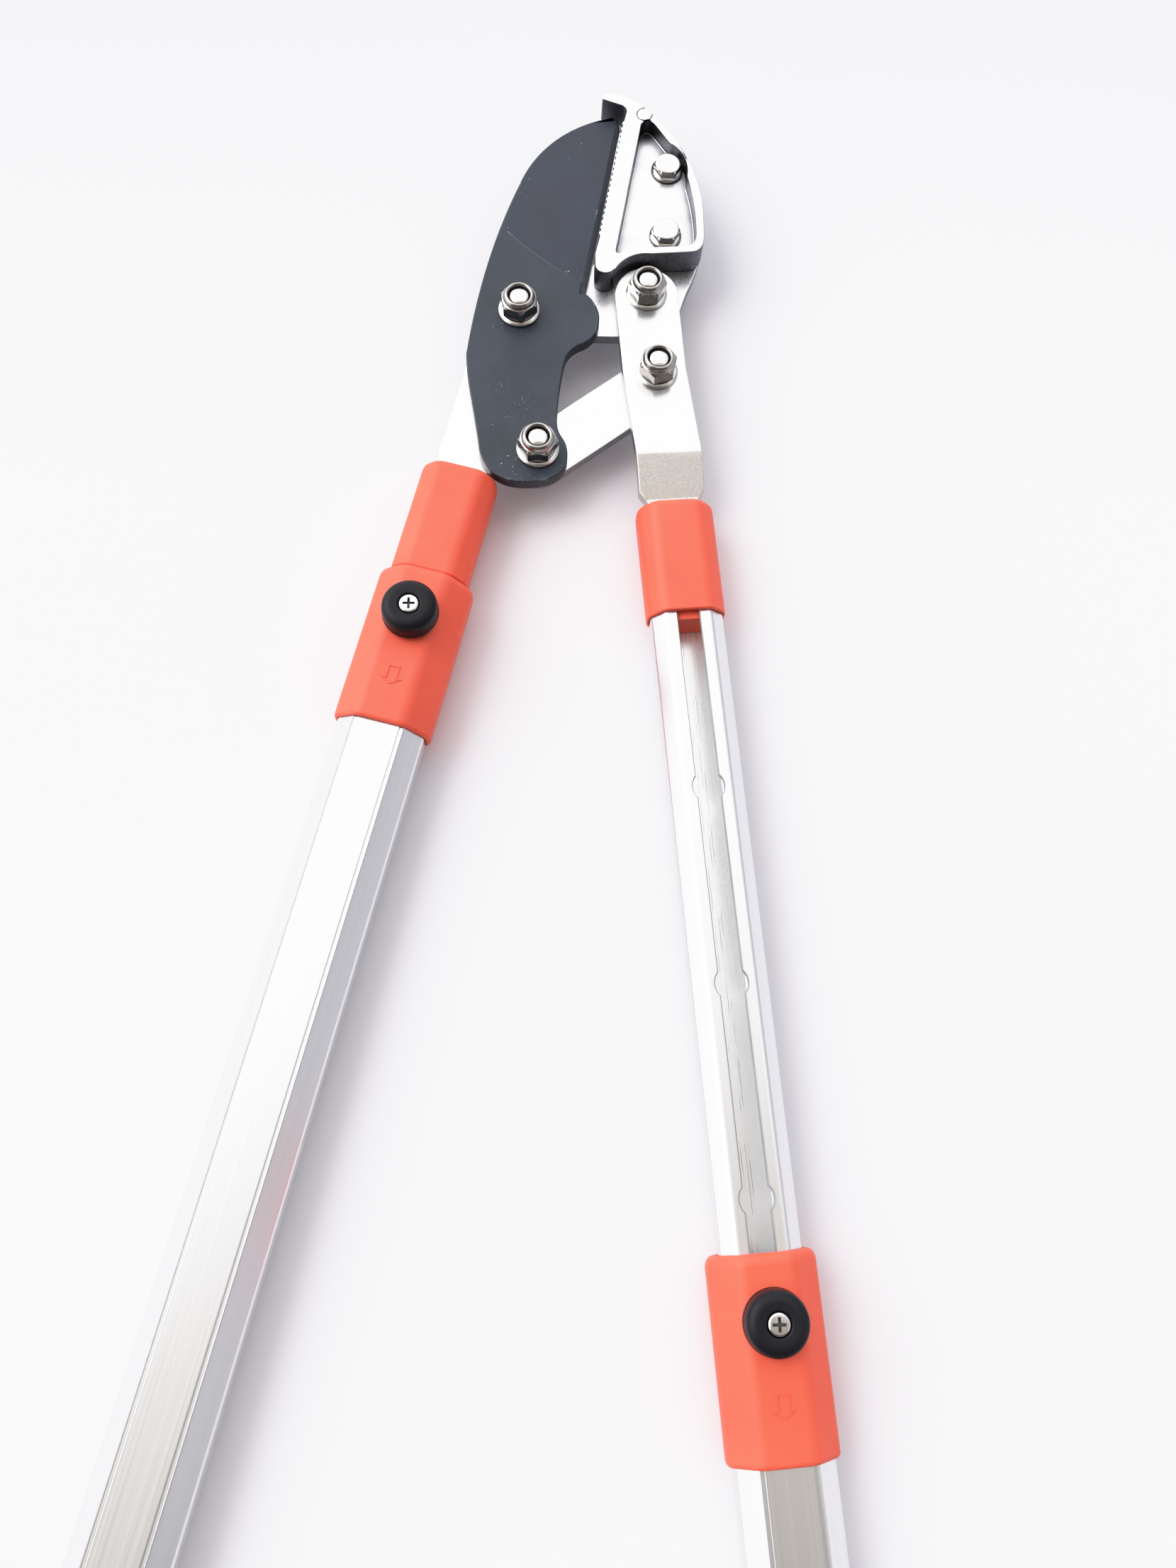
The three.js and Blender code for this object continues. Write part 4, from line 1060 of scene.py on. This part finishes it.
def grooved_outline():
    """The outer tube's section, with a groove along both edges of its two wide faces."""
    flat, face = OUTER["flat"] / 2, OUTER["depth"] / 2
    width, side = OUTER["width"] / 2, OUTER["side"] / 2
    upper = [
        (width, side, TUBE_CORNER), (flat + 0.15, face - 0.15, 0.1), (flat, face - GROOVE_DEPTH, 0.15),
        (flat - GROOVE_WIDTH, face - GROOVE_DEPTH, 0.15), (flat - GROOVE_WIDTH, face, 0.2),
    ]
    return softened([(x, -z, cut) for x, z, cut in reversed(upper)] + upper)


def outer_tube(side):
    node = f"{side}_outer_tube"
    bore = section(**swollen(OUTER, -TUBE_WALL), cut=BORE_CORNER)
    tube = shell(node, side, grooved_outline(), bore)
    centre = handle_frame(node, side) @ Vector((0, (OUTER_FROM - BUTTON_AT) * MM, 0))
    hole = turned([(PIN_HOLE, 4), (PIN_HOLE, 14)], centre, False, None, 0, 48)
    boolean(tube, new_object("hole", hole), "DIFFERENCE")
    place_piece(tube, node, TUBE[side])


PLAIN_PARTS = {
    "tang_plug": ORANGE, "guide_bush": BLACK, "locking_pin": BRIGHT,
    "tang_rivet_upper": BRIGHT, "tang_rivet_lower": BRIGHT,
}


def handle(side):
    inner_tube(side)
    outer_tube(side)
    for part, look in PLAIN_PARTS.items():
        node = f"{side}_{part}"
        place_piece(refined(node, 0.25, 2), node, look)
    collar(side)
    button_housing(side)
    grip(side)
    end_cap(side)
    knob(side)
    knob_screw(side)
    button_spring(side)


# ---------------------------------------------------------------- floor, light and camera

CAMERA_FROM_PIVOT = (3.45, -318.83, 417.82)
CAMERA_LOOK = (0.04664, 0.29399, -0.95467)
CAMERA_RIGHT = (0.99892, -0.01373, 0.04457)
CAMERA_LENS = 29.46
CAMERA_SENSOR = 36
FLOOR_HALF = 6.0
PAPER_LOW = (0.745, 0.735, 0.775)
PAPER_HIGH = (0.77, 0.762, 0.795)
# The paper turns darker and bluer towards +Y: painted shade for the light falling off.
PAPER_FAR_SHADE = (0.50, 0.515, 0.58)
FAR_FROM, FAR_TO = 0.3, 0.85
TENT_WHITE = (1.0, 0.995, 1.02)
TENT_STRENGTH = 2.1
# (direction, cosine where the zone starts, cosine where it is full, its colour).
DULL_ZONES = (
    ((1, 0.2, 0.1), 0.45, 0.9, (0.31, 0.31, 0.33)),
    ((0.1, -0.5, 0.86), 0.70, 0.87, (0.29, 0.264, 0.232)),
    ((0.1, -0.64, 0.76), 0.91, 0.98, (0.08, 0.075, 0.07)),
    ((0, -1, 0.1), 0.35, 0.7, (0.09, 0.085, 0.085)),
)
KEY_DIRECTION = (0.66, -0.28, -0.72)
KEY_STRENGTH = 1.6
KEY_SPREAD = 42
KEY_COLOUR = (1.0, 0.99, 0.97)
# The tone curve: its upper end, and its (scene light, shown light) points.
SHOULDER_END = 3.0
SHOULDER = ((0.35, 0.35), (0.6, 0.6), (0.8, 0.79), (1.0, 0.905), (1.3, 0.965), (1.8, 0.99))
COMBINED_CURVE = 3
FLOOR_DIP = 0.05 * MM


def floor():
    grid = bmesh.new()
    bmesh.ops.create_grid(grid, x_segments=4, y_segments=4, size=FLOOR_HALF)
    obj = new_object("floor", grid)
    obj.location.z = -FLOOR_DIP
    look = Look("pale_floor", Roughness=0.9)
    cloud = look.noise(3, 2)
    paper = look.mix(look.levels(cloud, 0.3, 0.7), rgb(*PAPER_LOW), rgb(*PAPER_HIGH))
    # Painted shade: the far paper darkens to stand in for light falling off.
    far = look.levels(look.node("SeparateXYZ", {0: look.places}).outputs["Y"], FAR_FROM, FAR_TO)
    look.colour(look.mix(far, paper, rgb(*PAPER_FAR_SHADE)))
    obj.data.materials.append(look.material)


def sky():
    """A white tent of light with dull zones, which the metal's faces mirror as greys."""
    world = bpy.data.worlds.new("tent")
    bpy.context.scene.world = world
    world.use_nodes = True
    tree = world.node_tree
    background = tree.nodes["Background"]
    where = tree.nodes.new("ShaderNodeTexCoord").outputs["Generated"]
    colour = rgb(*TENT_WHITE)
    for aim, start, end, dull in DULL_ZONES:
        toward = tree.nodes.new("ShaderNodeVectorMath")
        toward.operation = "DOT_PRODUCT"
        toward.inputs[1].default_value = Vector(aim).normalized()
        tree.links.new(where, toward.inputs[0])
        spread = tree.nodes.new("ShaderNodeMapRange")
        spread.interpolation_type = "SMOOTHSTEP"
        spread.inputs["From Min"].default_value = start
        spread.inputs["From Max"].default_value = end
        tree.links.new(toward.outputs["Value"], spread.inputs[0])
        blend = tree.nodes.new("ShaderNodeMix")
        blend.data_type = "RGBA"
        tree.links.new(spread.outputs[0], blend.inputs[0])
        if isinstance(colour, tuple):
            blend.inputs[MIX_A].default_value = colour
        else:
            tree.links.new(colour, blend.inputs[MIX_A])
        blend.inputs[MIX_B].default_value = rgb(*dull)
        colour = blend.outputs[MIX_RESULT]
    tree.links.new(colour, background.inputs["Color"])
    background.inputs["Strength"].default_value = TENT_STRENGTH


def tone():
    """A print-like tone curve: linear in the middle, with a soft shoulder up to paper white."""
    view = bpy.context.scene.view_settings
    view.view_transform = "Standard"
    view.use_curve_mapping = True
    mapping = view.curve_mapping
    mapping.white_level = (SHOULDER_END, SHOULDER_END, SHOULDER_END)
    curve = mapping.curves[COMBINED_CURVE]
    for light, shown in SHOULDER:
        curve.points.new(light / SHOULDER_END, shown)
    curve.points[0].location = (0, 0)
    curve.points[-1].location = (1, 1)
    mapping.update()


def lamp(name, direction, strength, spread, colour):
    data = bpy.data.lights.new(name, "SUN")
    data.energy = strength
    data.angle = math.radians(spread)
    data.color = colour
    obj = bpy.data.objects.new(name, data)
    obj.rotation_mode = "QUATERNION"
    obj.rotation_quaternion = Vector(direction).to_track_quat("-Z", "Y")
    bpy.context.scene.collection.objects.link(obj)


def camera():
    data = bpy.data.cameras.new("camera")
    data.lens = CAMERA_LENS
    data.sensor_width = CAMERA_SENSOR
    data.clip_start = 0.01
    obj = bpy.data.objects.new("camera", data)
    right, look = Vector(CAMERA_RIGHT), Vector(CAMERA_LOOK)
    up = right.cross(look)
    turn = Matrix((right, up, -look)).transposed().to_4x4()
    obj.matrix_world = Matrix.Translation(pivot("blade_pivot") + Vector(CAMERA_FROM_PIVOT) * MM) @ turn
    bpy.context.scene.collection.objects.link(obj)
    bpy.context.scene.camera = obj


tone()
camera()
floor()
sky()
lamp("key", KEY_DIRECTION, KEY_STRENGTH, KEY_SPREAD, KEY_COLOUR)
head()
for handle_side in SIDES:
    handle(handle_side)
